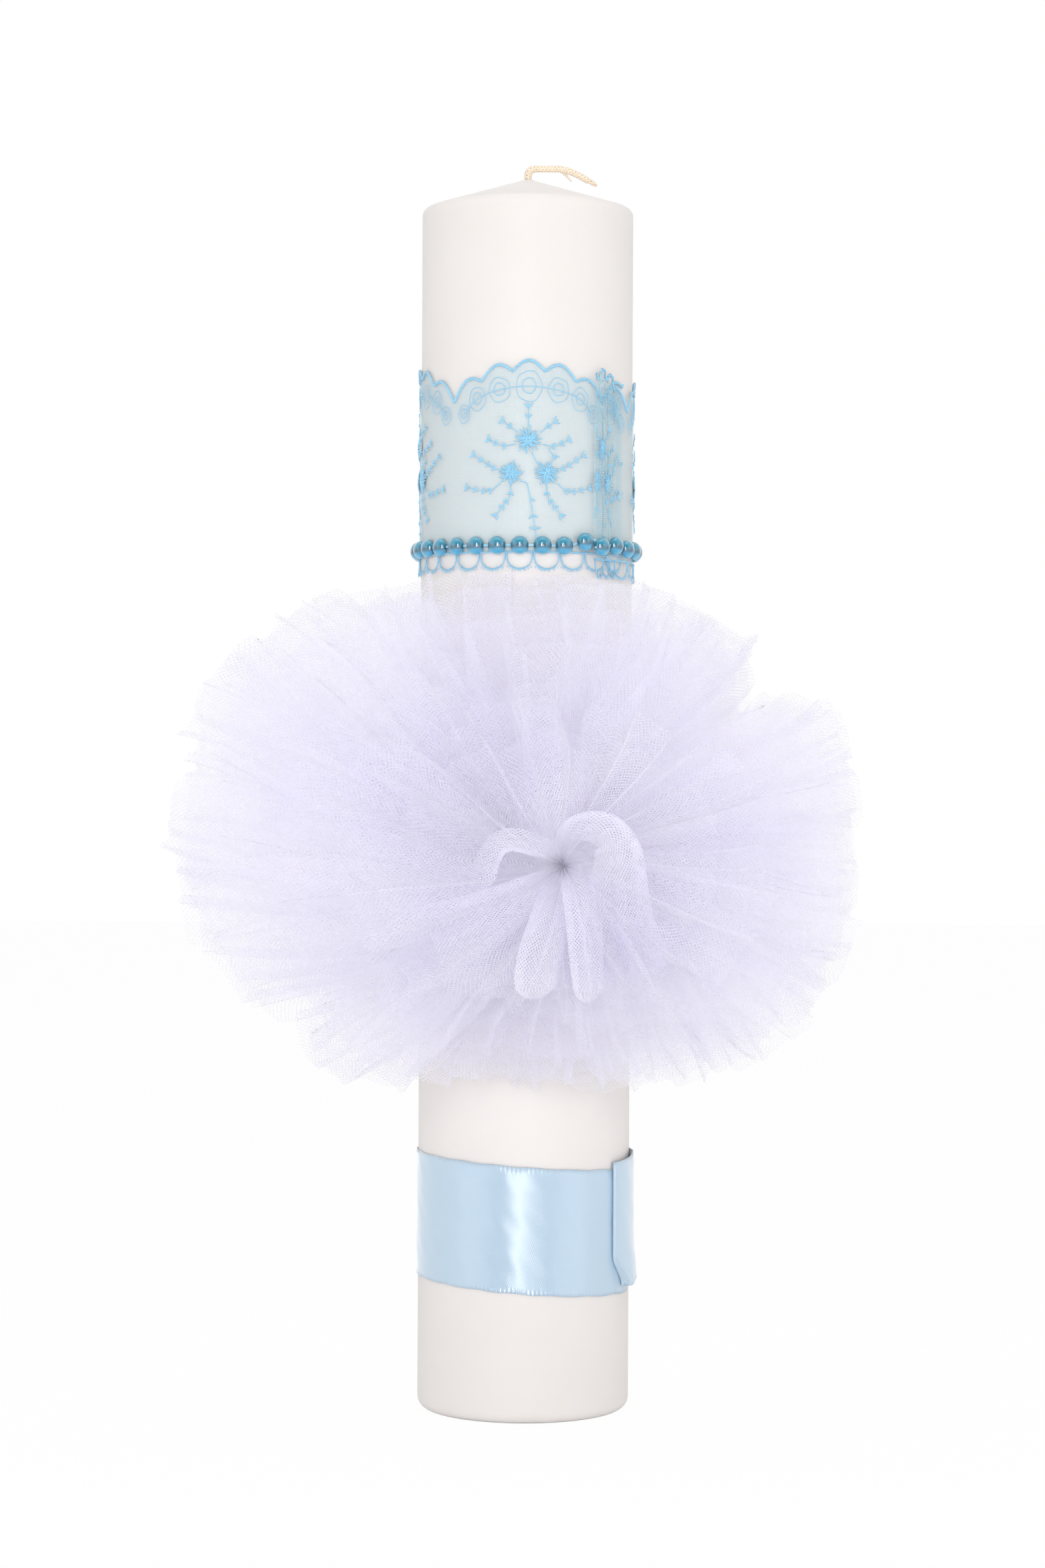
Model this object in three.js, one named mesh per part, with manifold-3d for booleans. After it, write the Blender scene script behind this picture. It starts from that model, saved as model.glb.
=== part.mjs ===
// Decorated baptism candle: a wax pillar with a lace band, a strand of half-round pearls,
// a gathered tulle pompom on the front and a satin ribbon near the foot.
// Millimetres, +Z up, origin at the centre of the base, front of the candle towards -Y.

import * as THREE from "three";
import { mergeVertices } from "three/addons/utils/BufferGeometryUtils.js";
import Module from "manifold-3d";

// Clearances between pieces that touch on the real candle
const SEAT_GAP = 0.25;
const WICK_CLEARANCE = 0.3;

// An upper layer of a wrap is fully raised this many degrees before it reaches the end beneath it
const LAP_CLEAR_ANGLE = 2;

// Wax pillar
const CANDLE_RADIUS = 35;
const SHOULDER_HEIGHT = 397;
const CONE_HEIGHT = 11;
const SHOULDER_ROUNDING = 2.5;
const BASE_ROUNDING = 4;
const WAX_UNDER_WICK = 8;
const CANDLE_FACETS = 48;

// Wick: a primed cotton braid that leaves the apex, bends over and lies along the cone
const WICK_RADIUS = 1.25;
const WICK_RISE = 3.3;
const WICK_BEND_RADIUS = 2.2;
const WICK_LEVEL_RUN = 8;
const WICK_DROOP_RUN = 12.5;
const WICK_DROOP = 5.8;
const WICK_DROOP_CURVE = 1.6;
const WICK_SIDES = 8;

// Lace band, wrapped once round with its ends lapped at the right of the front
const LACE_THICKNESS = 0.25;
const LACE_LOWER_CORD = 281.6;
const LACE_VALLEY = 330.4;
const LACE_ARCH_HEIGHT = 9.8;
const LACE_ARCH_CURVE = 0.8;
const LACE_LOBE_HEIGHT = 3.2;
const LACE_LOBES = 5;
const LACE_REPEAT = 52.5;
const LACE_REPEAT_CENTRE_ANGLE = 1;
const LACE_INNER_END_ANGLE = 61.6;
const LACE_LAP_LENGTH = 15.4;
const LACE_LAP_DROP = 2;
const LACE_DROP_FROM = 180;
const LACE_DROP_TO = 270;
const LACE_CLIMB_ANGLE = 21;
const LACE_LOOP_PITCH = 8.8;
const LACE_LOOP_HEIGHT = 4.7;
const LACE_LOOP_EDGE = 1.2;
const LACE_LOOP_POST_SHARE = 0.18;
const LACE_LOOP_FLAT_SHARE = 0.28;
const LACE_LOOP_END_SHARE = 0.55;
const LACE_GLUE_THICKNESS = 0.2;
const LACE_GLUE_WIDTH = 6;

// Pearl strand: half-round pearls, each with a channel in its flat back for the thread
const PEARL_DIAMETER = 6;
const PEARL_HEIGHT = 2.9;
const PEARL_EDGE_HEIGHT = 0.4;
const PEARL_SPACING = 1.35;
const STRAND_ABOVE_CORD = 2.2;
const STRAND_FIRST_ANGLE = 20;
const STRAND_END_SPACING = 0.27;
const STRAND_END_RISE = 1.3;
const STRAND_LAP_LIFT = 1.3;
const THREAD_THICKNESS = 0.35;
const THREAD_WIDTH = 0.7;
const THREAD_CLEARANCE = 0.2;
const THREAD_TAIL = 1.5;
const STRAND_GLUE_RADIUS = 1.5;
const STRAND_GLUE_TOP_RADIUS = 1.2;

// Tulle pompom: gathered strips in tiers round a tied neck, and curled petals at its heart
const POMPOM_HEIGHT = 181.8;
const POMPOM_OFFSET = 11.5;
const POMPOM_HALF_WIDTH = 110;
const POMPOM_HALF_HEIGHT = 83;
const POMPOM_OVAL_POWER = 2.3;
const POMPOM_OVAL_SHIFT_X = -13;
const POMPOM_OVAL_SHIFT_Z = 8.8;
const TULLE_THICKNESS = 0.4;
const NECK_RADIUS = 9.3;
const NECK_HEIGHT = 5;
const NECK_BASE = 3;
const TIERS = 4;
const TIER_TILT = 16;
const TIER_STEP_SHARE = 0.18;
const TIER_NECK_STEP = 1.8;
const TIER_SIDE_FALL = 11;
const TIER_BULGE = 0.09;
const TIER_MIDDLE_STOP = 0.45;
const TIER_RAGGED_SHARE = 0.02;
const TIER_RAGGED_WAVES = 7;
const BACK_TIER_PLEATS = 28;
const TIER_PLEAT_STEP = 4;
const PLEAT_DEPTH_SHARE = 0.085;
const PLEAT_DEPTH_AT_NECK = 0.15;
const PLEAT_DEPTH_LIMIT = 6;
const PLEAT_TWIST = 28;
const PETALS = 6;
const PETAL_REACH = 19;
const PETAL_DEPTH = 50;
const PETAL_SWEEP_SHARE = 0.78;
const PETAL_NECK_RADIUS = 2.2;
const PETAL_FOLD = 2.2;
const PETAL_DEPTH_STEP = 0.06;
const PETAL_CURL = 1.25;
const PETAL_OFFSET_SHARE = 0.25;
const GATHER_THREAD_RADIUS = 0.5;
const GLUE_PAD_RADIUS = 8;
const GLUE_PAD_SPREAD = 1;

// Satin ribbon, wrapped once round low on the candle, with a hem folded under at its outer end
const RIBBON_WIDTH = 41;
const RIBBON_THICKNESS = 0.25;
const RIBBON_MIDDLE_HEIGHT = 62.7;
const RIBBON_TILT = -0.0717;
const RIBBON_INNER_END_ANGLE = 75;
const RIBBON_FOLD_ANGLE = 55;
const RIBBON_CLIMB_ANGLE = 23;
const RIBBON_BACK_RISE = 5;
const RIBBON_RISE_FROM = 90;
const RIBBON_RISE_TO = 270;
const RIBBON_END_FALL = 2.6;
const RIBBON_STAND_OFF = 0.45;
const RIBBON_HEM = 8;
const RIBBON_CORNER_HEIGHT = 10;
const RIBBON_CORNER_TURN = 6;
const RIBBON_GLUE_WIDTH = 2.5;
const RIBBON_GLUE_MARGIN = 1;

const WAX = { color: 0xf0ece7, roughness: 0.35 };
const COTTON = { color: 0xf6efe1, roughness: 0.9 };
const LACE = { color: 0x9fd0e8, roughness: 0.7 };
const PEARL = { color: 0x2e86b4, roughness: 0.18 };
const CLEAR_THREAD = { color: 0xc9dde6, roughness: 0.4 };
const TULLE = { color: 0xe6e2f4, roughness: 0.8 };
const SATIN = { color: 0xc4dcec, roughness: 0.35 };
const GLUE = { color: 0xeeece4, roughness: 0.3 };

const FULL_TURN = 360;
const rad = THREE.MathUtils.degToRad;
const deg = THREE.MathUtils.radToDeg;
const smoothstep = THREE.MathUtils.smoothstep;

const manifold = await Module();
manifold.setup();

const candle = new THREE.Group();

// Adds a geometry to the candle as one named piece and returns its mesh.
function addPiece(name, geometry, finish, parent = candle) {
  const material = new THREE.MeshStandardMaterial({ ...finish, metalness: 0 });
  const mesh = new THREE.Mesh(geometry, material);
  mesh.name = name;
  parent.add(mesh);
  return mesh;
}

// A point on a wrap round the candle: angle in degrees from the front towards +X.
function wrapPoint(radius, angle, height) {
  return new THREE.Vector3(radius * Math.sin(rad(angle)), -radius * Math.cos(rad(angle)), height);
}

// The angle in degrees that a length covers on a wrap of the given radius.
function wrapAngle(length, radius) {
  return deg(length / radius);
}

// Thickens a grid of points into one closed sheet. point(row, column) gives the middle surface,
// and a cell for which isOpen(row, column) is true is left out as a hole with its own walls.
function sheetSolid({ rows, columns, point, thickness, ring = false, isOpen = () => false }) {
  const stride = ring ? columns : columns + 1;
  const wrapped = (column) => (ring ? (column + columns) % columns : column);
  const middle = (row, column) => point(row, wrapped(column));
  const positions = [];
  for (let row = 0; row <= rows; row += 1) {
    for (let column = 0; column < stride; column += 1) {
      const left = ring ? column - 1 : Math.max(column - 1, 0);
      const right = ring ? column + 1 : Math.min(column + 1, columns);
      const along = middle(row, right).sub(middle(row, left));
      const across = middle(Math.min(row + 1, rows), column).sub(middle(Math.max(row - 1, 0), column));
      const half = along.cross(across).setLength(thickness / 2);
      const centre = middle(row, column);
      positions.push(...centre.clone().add(half).toArray(), ...centre.clone().sub(half).toArray());
    }
  }
  const front = ([row, column]) => 2 * (row * stride + wrapped(column));
  const back = (corner) => front(corner) + 1;
  const isCell = (row, column) => {
    const inside = row >= 0 && row < rows && (ring || (column >= 0 && column < columns));
    return inside && !isOpen(row, wrapped(column));
  };
  const index = [];
  const quad = (a, b, c, d) => index.push(a, b, c, a, c, d);
  for (let row = 0; row < rows; row += 1) {
    for (let column = 0; column < columns; column += 1) {
      if (!isCell(row, column)) continue;
      const corners = [[row, column], [row, column + 1], [row + 1, column + 1], [row + 1, column]];
      const beside = [[row - 1, column], [row, column + 1], [row + 1, column], [row, column - 1]];
      const [a, b, c, d] = corners.map(back);
      quad(...corners.map(front));
      quad(a, d, c, b);
      beside.forEach((neighbour, side) => {
        if (isCell(...neighbour)) return;
        const from = corners[side];
        const to = corners[(side + 1) % corners.length];
        quad(front(to), front(from), back(from), back(to));
      });
    }
  }
  const geometry = new THREE.BufferGeometry();
  geometry.setAttribute("position", new THREE.Float32BufferAttribute(positions, 3));
  geometry.setIndex(index);
  return geometry;
}

// A solid of revolution about +Z from [radius, height] pairs that start and end on the axis.
function revolved(profile, facets) {
  const points = profile.map(([radius, height]) => new THREE.Vector2(radius, height));
  return new THREE.LatheGeometry(points, facets).rotateX(Math.PI / 2);
}

// Points on an arc of a profile, angles in degrees from the outward direction.
function arcPoints(centreRadius, centreHeight, arcRadius, from, to, steps) {
  return Array.from({ length: steps + 1 }, (_, step) => {
    const angle = rad(from + ((to - from) * step) / steps);
    return [centreRadius + arcRadius * Math.cos(angle), centreHeight + arcRadius * Math.sin(angle)];
  });
}

// The closed mesh of a geometry as a solid for joining and cutting.
function toSolid(geometry) {
  const bare = geometry.clone();
  bare.deleteAttribute("normal");
  bare.deleteAttribute("uv");
  const merged = mergeVertices(bare, 1e-4);
  const triVerts = new Uint32Array(merged.index.array);
  const vertProperties = merged.getAttribute("position").array;
  return new manifold.Manifold(new manifold.Mesh({ numProp: 3, vertProperties, triVerts }));
}

function toGeometry(solid) {
  const mesh = solid.getMesh();
  const geometry = new THREE.BufferGeometry();
  geometry.setAttribute("position", new THREE.BufferAttribute(mesh.vertProperties, 3));
  geometry.setIndex(new THREE.BufferAttribute(mesh.triVerts, 1));
  return geometry;
}

// Wax pillar with a rounded foot, a rounded shoulder, a low cone and the blind hole of the wick
const coneSlope = deg(Math.atan(CONE_HEIGHT / CANDLE_RADIUS));
const wickHoleRadius = WICK_RADIUS + WICK_CLEARANCE;
const apexHeight = SHOULDER_HEIGHT + CONE_HEIGHT;

function coneHeightAt(radius) {
  return apexHeight - radius * Math.tan(rad(coneSlope));
}

function candleBody() {
  const cornerSetback = SHOULDER_ROUNDING / Math.tan(rad((90 + coneSlope) / 2));
  const sideTop = SHOULDER_HEIGHT - cornerSetback;
  const foot = arcPoints(CANDLE_RADIUS - BASE_ROUNDING, BASE_ROUNDING, BASE_ROUNDING, -90, 0, 3);
  const shoulder = arcPoints(
    CANDLE_RADIUS - SHOULDER_ROUNDING, sideTop, SHOULDER_ROUNDING, 0, 90 - coneSlope, 3,
  );
  return revolved(
    [
      [0, 0],
      ...foot,
      ...shoulder,
      [wickHoleRadius, coneHeightAt(wickHoleRadius)],
      [wickHoleRadius, WAX_UNDER_WICK],
      [0, WAX_UNDER_WICK],
    ],
    CANDLE_FACETS,
  );
}

// The wick's centre line in the XZ plane: straight up the hole, over the bend, level, then drooping
function wickPath() {
  const bendSteps = 4;
  const droopSteps = 4;
  const levelHeight = apexHeight + WICK_RISE;
  const bendStart = levelHeight - WICK_BEND_RADIUS;
  const points = [new THREE.Vector3(0, 0, WAX_UNDER_WICK + WICK_CLEARANCE)];
  for (let step = 0; step <= bendSteps; step += 1) {
    const turn = rad((90 * step) / bendSteps);
    const x = WICK_BEND_RADIUS * (1 - Math.cos(turn));
    points.push(new THREE.Vector3(x, 0, bendStart + WICK_BEND_RADIUS * Math.sin(turn)));
  }
  const droopStart = WICK_BEND_RADIUS + WICK_LEVEL_RUN;
  for (let step = 0; step <= droopSteps; step += 1) {
    const share = step / droopSteps;
    const x = droopStart + WICK_DROOP_RUN * share;
    points.push(new THREE.Vector3(x, 0, levelHeight - WICK_DROOP * share ** WICK_DROOP_CURVE));
  }
  return points;
}

// A round strand along points in the XZ plane, narrowed at its last ring, with both ends closed
function wickSolid() {
  const path = wickPath();
  const sideways = new THREE.Vector3(0, 1, 0);
  const frayedShare = 0.45;
  const positions = [];
  const index = [];
  path.forEach((point, ring) => {
    const before = path[Math.max(ring - 1, 0)];
    const after = path[Math.min(ring + 1, path.length - 1)];
    const tangent = after.clone().sub(before).normalize();
    const upward = sideways.clone().cross(tangent).negate();
    const radius = ring === path.length - 1 ? WICK_RADIUS * frayedShare : WICK_RADIUS;
    for (let side = 0; side < WICK_SIDES; side += 1) {
      const angle = rad((FULL_TURN * side) / WICK_SIDES);
      const offset = sideways.clone().multiplyScalar(radius * Math.cos(angle));
      offset.addScaledVector(upward, radius * Math.sin(angle));
      positions.push(...offset.add(point).toArray());
    }
  });
  const at = (ring, side) => ring * WICK_SIDES + (side % WICK_SIDES);
  const lastRing = path.length - 1;
  for (let side = 0; side < WICK_SIDES; side += 1) {
    for (let ring = 0; ring < lastRing; ring += 1) {
      index.push(at(ring, side), at(ring + 1, side + 1), at(ring + 1, side));
      index.push(at(ring, side), at(ring, side + 1), at(ring + 1, side + 1));
    }
    if (side > 0 && side < WICK_SIDES - 1) {
      index.push(at(0, 0), at(0, side + 1), at(0, side));
      index.push(at(lastRing, 0), at(lastRing, side), at(lastRing, side + 1));
    }
  }
  const geometry = new THREE.BufferGeometry();
  geometry.setAttribute("position", new THREE.Float32BufferAttribute(positions, 3));
  geometry.setIndex(index);
  return geometry;
}

// Lace band. It runs from its inner end at the right of the front, round the left and the back,
// and its outer end lies over the inner one.
const laceInnerRadius = CANDLE_RADIUS + SEAT_GAP + LACE_THICKNESS / 2;
const laceLapLift = LACE_THICKNESS + LACE_GLUE_THICKNESS + 2 * SEAT_GAP;
const laceSweep = FULL_TURN + wrapAngle(LACE_LAP_LENGTH, laceInnerRadius);
const laceOuterEndAngle = LACE_INNER_END_ANGLE - laceSweep;
const laceClimbEnd = LACE_INNER_END_ANGLE - FULL_TURN + LAP_CLEAR_ANGLE;
const laceBottom = LACE_LOWER_CORD - LACE_LOOP_HEIGHT;

// Radius of the lace's middle surface along its length, angle counted down from the inner end
function laceRadius(angle) {
  const climbed = smoothstep(-angle, -laceClimbEnd - LACE_CLIMB_ANGLE, -laceClimbEnd);
  return laceInnerRadius + laceLapLift * climbed;
}

function laceDrop(angle) {
  return LACE_LAP_DROP * smoothstep(-angle, LACE_DROP_FROM, LACE_DROP_TO);
}

// Height of the scalloped top: lobes riding on one wide arch in each repeat
function laceTop(angle) {
  const repeats = (rad(angle - LACE_REPEAT_CENTRE_ANGLE) * laceInnerRadius) / LACE_REPEAT + 0.5;
  const share = repeats - Math.floor(repeats);
  const arch = Math.sin(Math.PI * share) ** LACE_ARCH_CURVE;
  const lobe = Math.abs(Math.sin(Math.PI * LACE_LOBES * share));
  return LACE_VALLEY + LACE_ARCH_HEIGHT * arch + LACE_LOBE_HEIGHT * lobe;
}

function laceBand() {
  const loops = Math.round((rad(laceSweep) * laceInnerRadius) / LACE_LOOP_PITCH);
  const postHalf = LACE_LOOP_POST_SHARE / 2;
  const flatHalf = LACE_LOOP_FLAT_SHARE / 2;
  const stops = [-postHalf, postHalf, 0.5 - flatHalf, 0.5 + flatHalf];
  const opening = [LACE_LOOP_END_SHARE, LACE_LOOP_END_SHARE, 1, 1];
  const columns = loops * stops.length + 1;
  const angleAt = (column) => {
    const share = Math.floor(column / stops.length) + stops[column % stops.length] + postHalf;
    return LACE_INNER_END_ANGLE - (laceSweep * share) / (loops + 2 * postHalf);
  };
  const point = (row, column) => {
    const angle = angleAt(column);
    const half = (LACE_LOOP_HEIGHT / 2) * opening[column % stops.length];
    const middle = LACE_LOWER_CORD - LACE_LOOP_HEIGHT / 2;
    const heights = [middle - half - LACE_LOOP_EDGE, middle - half, middle + half, laceTop(angle)];
    return wrapPoint(laceRadius(angle), angle, heights[row] - laceDrop(angle));
  };
  const isOpen = (row, column) => row === 1 && column % stops.length !== 0;
  return sheetSolid({ rows: 3, columns, point, thickness: LACE_THICKNESS, isOpen });
}

// Glue between the two lapped ends of the lace
function laceGlue() {
  const radius = laceInnerRadius + laceLapLift / 2;
  const middleAngle = (LACE_INNER_END_ANGLE + laceOuterEndAngle + FULL_TURN) / 2;
  const span = wrapAngle(LACE_GLUE_WIDTH, radius);
  const columns = 3;
  const low = LACE_LOWER_CORD + LACE_LOOP_EDGE;
  const high = LACE_VALLEY - LACE_LAP_DROP - LACE_LOOP_EDGE;
  const point = (row, column) =>
    wrapPoint(radius, middleAngle + span * (0.5 - column / columns), row ? high : low);
  return sheetSolid({ rows: 1, columns, point, thickness: LACE_GLUE_THICKNESS });
}

// Pearl strand. Angles count down from the first regular pearl round the left and the back, and
// the two ends of the strand meet beside each other over the lap of the lace.
const strandRadius = laceInnerRadius + LACE_THICKNESS / 2 + SEAT_GAP;
const strandHeight = LACE_LOWER_CORD + STRAND_ABOVE_CORD;
const strandEndPitch = wrapAngle(PEARL_DIAMETER + STRAND_END_SPACING, strandRadius);

// The flat back of a pearl rests on the lace; its two layers lift it where they lap.
function seatRadius(angle) {
  const turned = angle > STRAND_FIRST_ANGLE + strandEndPitch / 2 ? angle - FULL_TURN : angle;
  return laceRadius(turned) + LACE_THICKNESS / 2 + SEAT_GAP;
}

// Where each pearl sits: the centre of its flat back and the direction of the strand there.
function strandStations() {
  const lowerEnd = STRAND_FIRST_ANGLE + strandEndPitch;
  const upperEnd = lowerEnd + strandEndPitch - FULL_TURN;
  const besideUpperEnd = upperEnd + strandEndPitch;
  const span = STRAND_FIRST_ANGLE - besideUpperEnd;
  const regular = Math.floor(span / wrapAngle(PEARL_DIAMETER + PEARL_SPACING, strandRadius));
  const pitch = span / regular;
  const places = [{ angle: lowerEnd, rise: STRAND_END_RISE, lift: 0 }];
  for (let step = 0; step < regular; step += 1) {
    places.push({ angle: STRAND_FIRST_ANGLE - step * pitch, rise: 0, lift: 0 });
  }
  places.push({ angle: besideUpperEnd, rise: STRAND_END_RISE / 2, lift: STRAND_LAP_LIFT / 3 });
  places.push({ angle: upperEnd, rise: 0, lift: STRAND_LAP_LIFT });
  const stations = places.map(({ angle, rise, lift }) => ({
    lift,
    outward: wrapPoint(1, angle, 0),
    seat: wrapPoint(seatRadius(angle) + lift, angle, strandHeight + rise),
  }));
  stations.forEach((station, number) => {
    const before = stations[Math.max(number - 1, 0)];
    const after = stations[Math.min(number + 1, stations.length - 1)];
    station.along = after.seat.clone().sub(before.seat).normalize();
  });
  return stations;
}

// Half-round pearl about +Y with its flat back at the origin and the thread channel along X
function pearlGeometry() {
  const radius = PEARL_DIAMETER / 2;
  const crown = PEARL_HEIGHT - PEARL_EDGE_HEIGHT;
  const domeSteps = 4;
  const dome = Array.from({ length: domeSteps }, (_, step) => {
    const angle = rad((90 * step) / domeSteps);
    return new THREE.Vector2(radius * Math.cos(angle), PEARL_EDGE_HEIGHT + crown * Math.sin(angle));
  });
  const profile = [
    new THREE.Vector2(0, 0),
    new THREE.Vector2(radius - PEARL_EDGE_HEIGHT / 2, 0),
    ...dome,
    new THREE.Vector2(0, PEARL_HEIGHT),
  ];
  const body = toSolid(new THREE.LatheGeometry(profile, 12));
  const channelHeight = THREAD_THICKNESS + 2 * THREAD_CLEARANCE;
  const channelWidth = THREAD_WIDTH + 2 * THREAD_CLEARANCE;
  const channel = new THREE.BoxGeometry(2 * PEARL_DIAMETER, 2 * channelHeight, channelWidth);
  return toGeometry(body.subtract(toSolid(channel)));
}

// Turns a piece made about +Y to stand on the strand, its X axis along the given direction.
function placeOnStrand(mesh, { seat, outward }, along) {
  const upright = outward.clone().addScaledVector(along, -outward.dot(along)).normalize();
  const basis = new THREE.Matrix4().makeBasis(along, upright, along.clone().cross(upright));
  mesh.quaternion.setFromRotationMatrix(basis);
  mesh.position.copy(seat);
}

// Flat link thread: straight through each pearl's channel, turning only between pearls
function strandThread(stations) {
  const reach = PEARL_DIAMETER / 2 - STRAND_END_SPACING;
  const lastStation = stations.length - 1;
  const corners = stations.flatMap(({ seat, outward, along }, number) => {
    const upright = outward.clone().addScaledVector(along, -outward.dot(along)).normalize();
    const centre = seat.clone().addScaledVector(upright, THREAD_CLEARANCE + THREAD_THICKNESS / 2);
    const width = along.clone().cross(upright).multiplyScalar(THREAD_WIDTH);
    const before = number === 0 ? -reach - THREAD_TAIL : -reach;
    const after = number === lastStation ? reach + THREAD_TAIL : reach;
    const cornerAt = (travel) => ({ centre: centre.clone().addScaledVector(along, travel), width });
    return [before, after].map(cornerAt);
  });
  const point = (row, column) => {
    const { centre, width } = corners[column];
    return centre.clone().addScaledVector(width, row - 0.5);
  };
  return sheetSolid({ rows: 1, columns: corners.length - 1, point, thickness: THREAD_THICKNESS });
}

// Dab of glue that fixes the upper end of the strand to the lace
function strandGlue(station) {
  const thickness = station.lift - SEAT_GAP;
  const dab = new THREE.CylinderGeometry(STRAND_GLUE_TOP_RADIUS, STRAND_GLUE_RADIUS, thickness, 10);
  dab.translate(0, -SEAT_GAP - thickness / 2, 0);
  return dab;
}

// Tulle pompom in its own frame: X to the right, Z up and depth towards the viewer along -Y.
const neckFlareDepth = NECK_BASE + NECK_HEIGHT;
const meanReach = (POMPOM_HALF_WIDTH + POMPOM_HALF_HEIGHT) / 2;

function pompomPoint(radius, angle, depth) {
  return new THREE.Vector3(radius * Math.cos(angle), -depth, radius * Math.sin(angle));
}

// Distance from the neck to the squared oval outline of the back tier in a given direction
function outlineReach(angle) {
  const direction = [Math.cos(angle), Math.sin(angle)];
  const halves = [POMPOM_HALF_WIDTH, POMPOM_HALF_HEIGHT];
  const shifts = [POMPOM_OVAL_SHIFT_X, POMPOM_OVAL_SHIFT_Z];
  const outside = (reach) => {
    const shares = direction.map((part, axis) => Math.abs((reach * part - shifts[axis]) / halves[axis]));
    return shares[0] ** POMPOM_OVAL_POWER + shares[1] ** POMPOM_OVAL_POWER > 1;
  };
  let near = 0;
  let far = 2 * POMPOM_HALF_WIDTH;
  for (let halving = 0; halving < 30; halving += 1) {
    const middle = (near + far) / 2;
    if (outside(middle)) far = middle;
    else near = middle;
  }
  return near;
}

// Half the travel of a pleat at a distance from the neck along the strip
function pleatDepth(distance) {
  return Math.min(PLEAT_DEPTH_AT_NECK + PLEAT_DEPTH_SHARE * distance, PLEAT_DEPTH_LIMIT);
}

// One pleated tier: a gathered strip that rises through the neck and flares to a ragged cut edge.
// Tier 0 is the flat one at the back, and each tier in front is shorter and stands up more.
function tulleTier(tier) {
  const pleats = BACK_TIER_PLEATS - TIER_PLEAT_STEP * tier;
  const stepsInPleat = 3;
  const columns = pleats * stepsInPleat;
  const neckRadius = NECK_RADIUS - TIER_NECK_STEP * tier;
  const share = 1 - TIER_STEP_SHARE * tier;
  const rise = meanReach * share * Math.tan(rad(TIER_TILT * tier));
  const stripStops = [0, 0, TIER_MIDDLE_STOP, 1];
  const point = (row, column) => {
    const turn = column / columns;
    const stop = stripStops[row];
    const twist = rad(PLEAT_TWIST) * (1 - stop) ** 2;
    const angle = 2 * Math.PI * turn + twist;
    const ragged = 1 + TIER_RAGGED_SHARE * Math.sin(TIER_RAGGED_WAVES * angle + tier) * stop;
    const reach = Math.max(outlineReach(angle) * share * ragged - neckRadius, 0);
    const sideFall = tier === 0 ? TIER_SIDE_FALL * Math.cos(angle) ** 2 * stop ** 2 : 0;
    const bulge = reach * TIER_BULGE * Math.sin(Math.PI * stop);
    const depth = row === 0 ? NECK_BASE : neckFlareDepth + rise * stop + bulge - sideFall;
    const lean = Math.atan2(rise, reach);
    const distance = Math.hypot(rise, reach) * stop;
    const fold = pleatDepth(distance) * Math.cos((2 * Math.PI * column) / stepsInPleat);
    const radius = neckRadius + reach * stop;
    const outward = row < 2 ? fold : -fold * Math.sin(lean);
    const forward = row < 2 ? 0 : fold * Math.cos(lean);
    return pompomPoint(radius + outward, angle, depth + forward);
  };
  return sheetSolid({ rows: stripStops.length - 1, columns, point, thickness: TULLE_THICKNESS, ring: true });
}

// One petal: a folded strip that rises from the heart of the neck to a rounded end
function tullePetal(number) {
  const lengthStops = [0, 0, 0.35, 0.7, 0.9, 1];
  const sweepShares = [1, 1, 1, 1, 0.78, 0.4];
  const columns = 4;
  const middleAngle = (2 * Math.PI * (number + PETAL_OFFSET_SHARE)) / PETALS;
  const halfSweep = (Math.PI / PETALS) * PETAL_SWEEP_SHARE;
  const rise = (PETAL_DEPTH - neckFlareDepth) * (1 - PETAL_DEPTH_STEP * (number % 3));
  const point = (row, column) => {
    const stop = lengthStops[row];
    const across = (2 * column) / columns - 1;
    const radius = PETAL_NECK_RADIUS + (PETAL_REACH - PETAL_NECK_RADIUS) * stop ** PETAL_CURL;
    const twist = rad(PLEAT_TWIST) * (1 - stop) ** 2;
    const angle = middleAngle + twist + halfSweep * sweepShares[row] * across;
    const fold = PETAL_FOLD * stop * (1 - across ** 2);
    const depth = row === 0 ? NECK_BASE : neckFlareDepth + rise * stop;
    return pompomPoint(radius + fold, angle, depth);
  };
  return sheetSolid({ rows: lengthStops.length - 1, columns, point, thickness: TULLE_THICKNESS });
}

// Thread wound and knotted round the neck of the back tier
function gatherThread() {
  const clear = NECK_RADIUS + PLEAT_DEPTH_AT_NECK + TULLE_THICKNESS / 2 + SEAT_GAP;
  const ring = new THREE.TorusGeometry(clear + GATHER_THREAD_RADIUS, GATHER_THREAD_RADIUS, 6, 24);
  ring.rotateX(Math.PI / 2);
  return ring.translate(0, -NECK_BASE - NECK_HEIGHT / 2, 0);
}

// Pad of glue between the wax and the foot of the neck, its back shaped by the pillar
function gluePad() {
  const faceDepth = NECK_BASE - TULLE_THICKNESS / 2 - SEAT_GAP;
  const length = CANDLE_RADIUS;
  const pad = new THREE.CylinderGeometry(GLUE_PAD_RADIUS, GLUE_PAD_RADIUS + GLUE_PAD_SPREAD, length, 20);
  pad.translate(0, -length / 2, 0).rotateX(Math.PI);
  pad.translate(POMPOM_OFFSET, -CANDLE_RADIUS - faceDepth, POMPOM_HEIGHT);
  const reach = 4 * GLUE_PAD_RADIUS;
  const pillar = new THREE.CylinderGeometry(
    CANDLE_RADIUS + SEAT_GAP, CANDLE_RADIUS + SEAT_GAP, reach, CANDLE_FACETS,
  );
  pillar.rotateX(Math.PI / 2).translate(0, 0, POMPOM_HEIGHT);
  return toGeometry(toSolid(pad).subtract(toSolid(pillar)));
}

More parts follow.
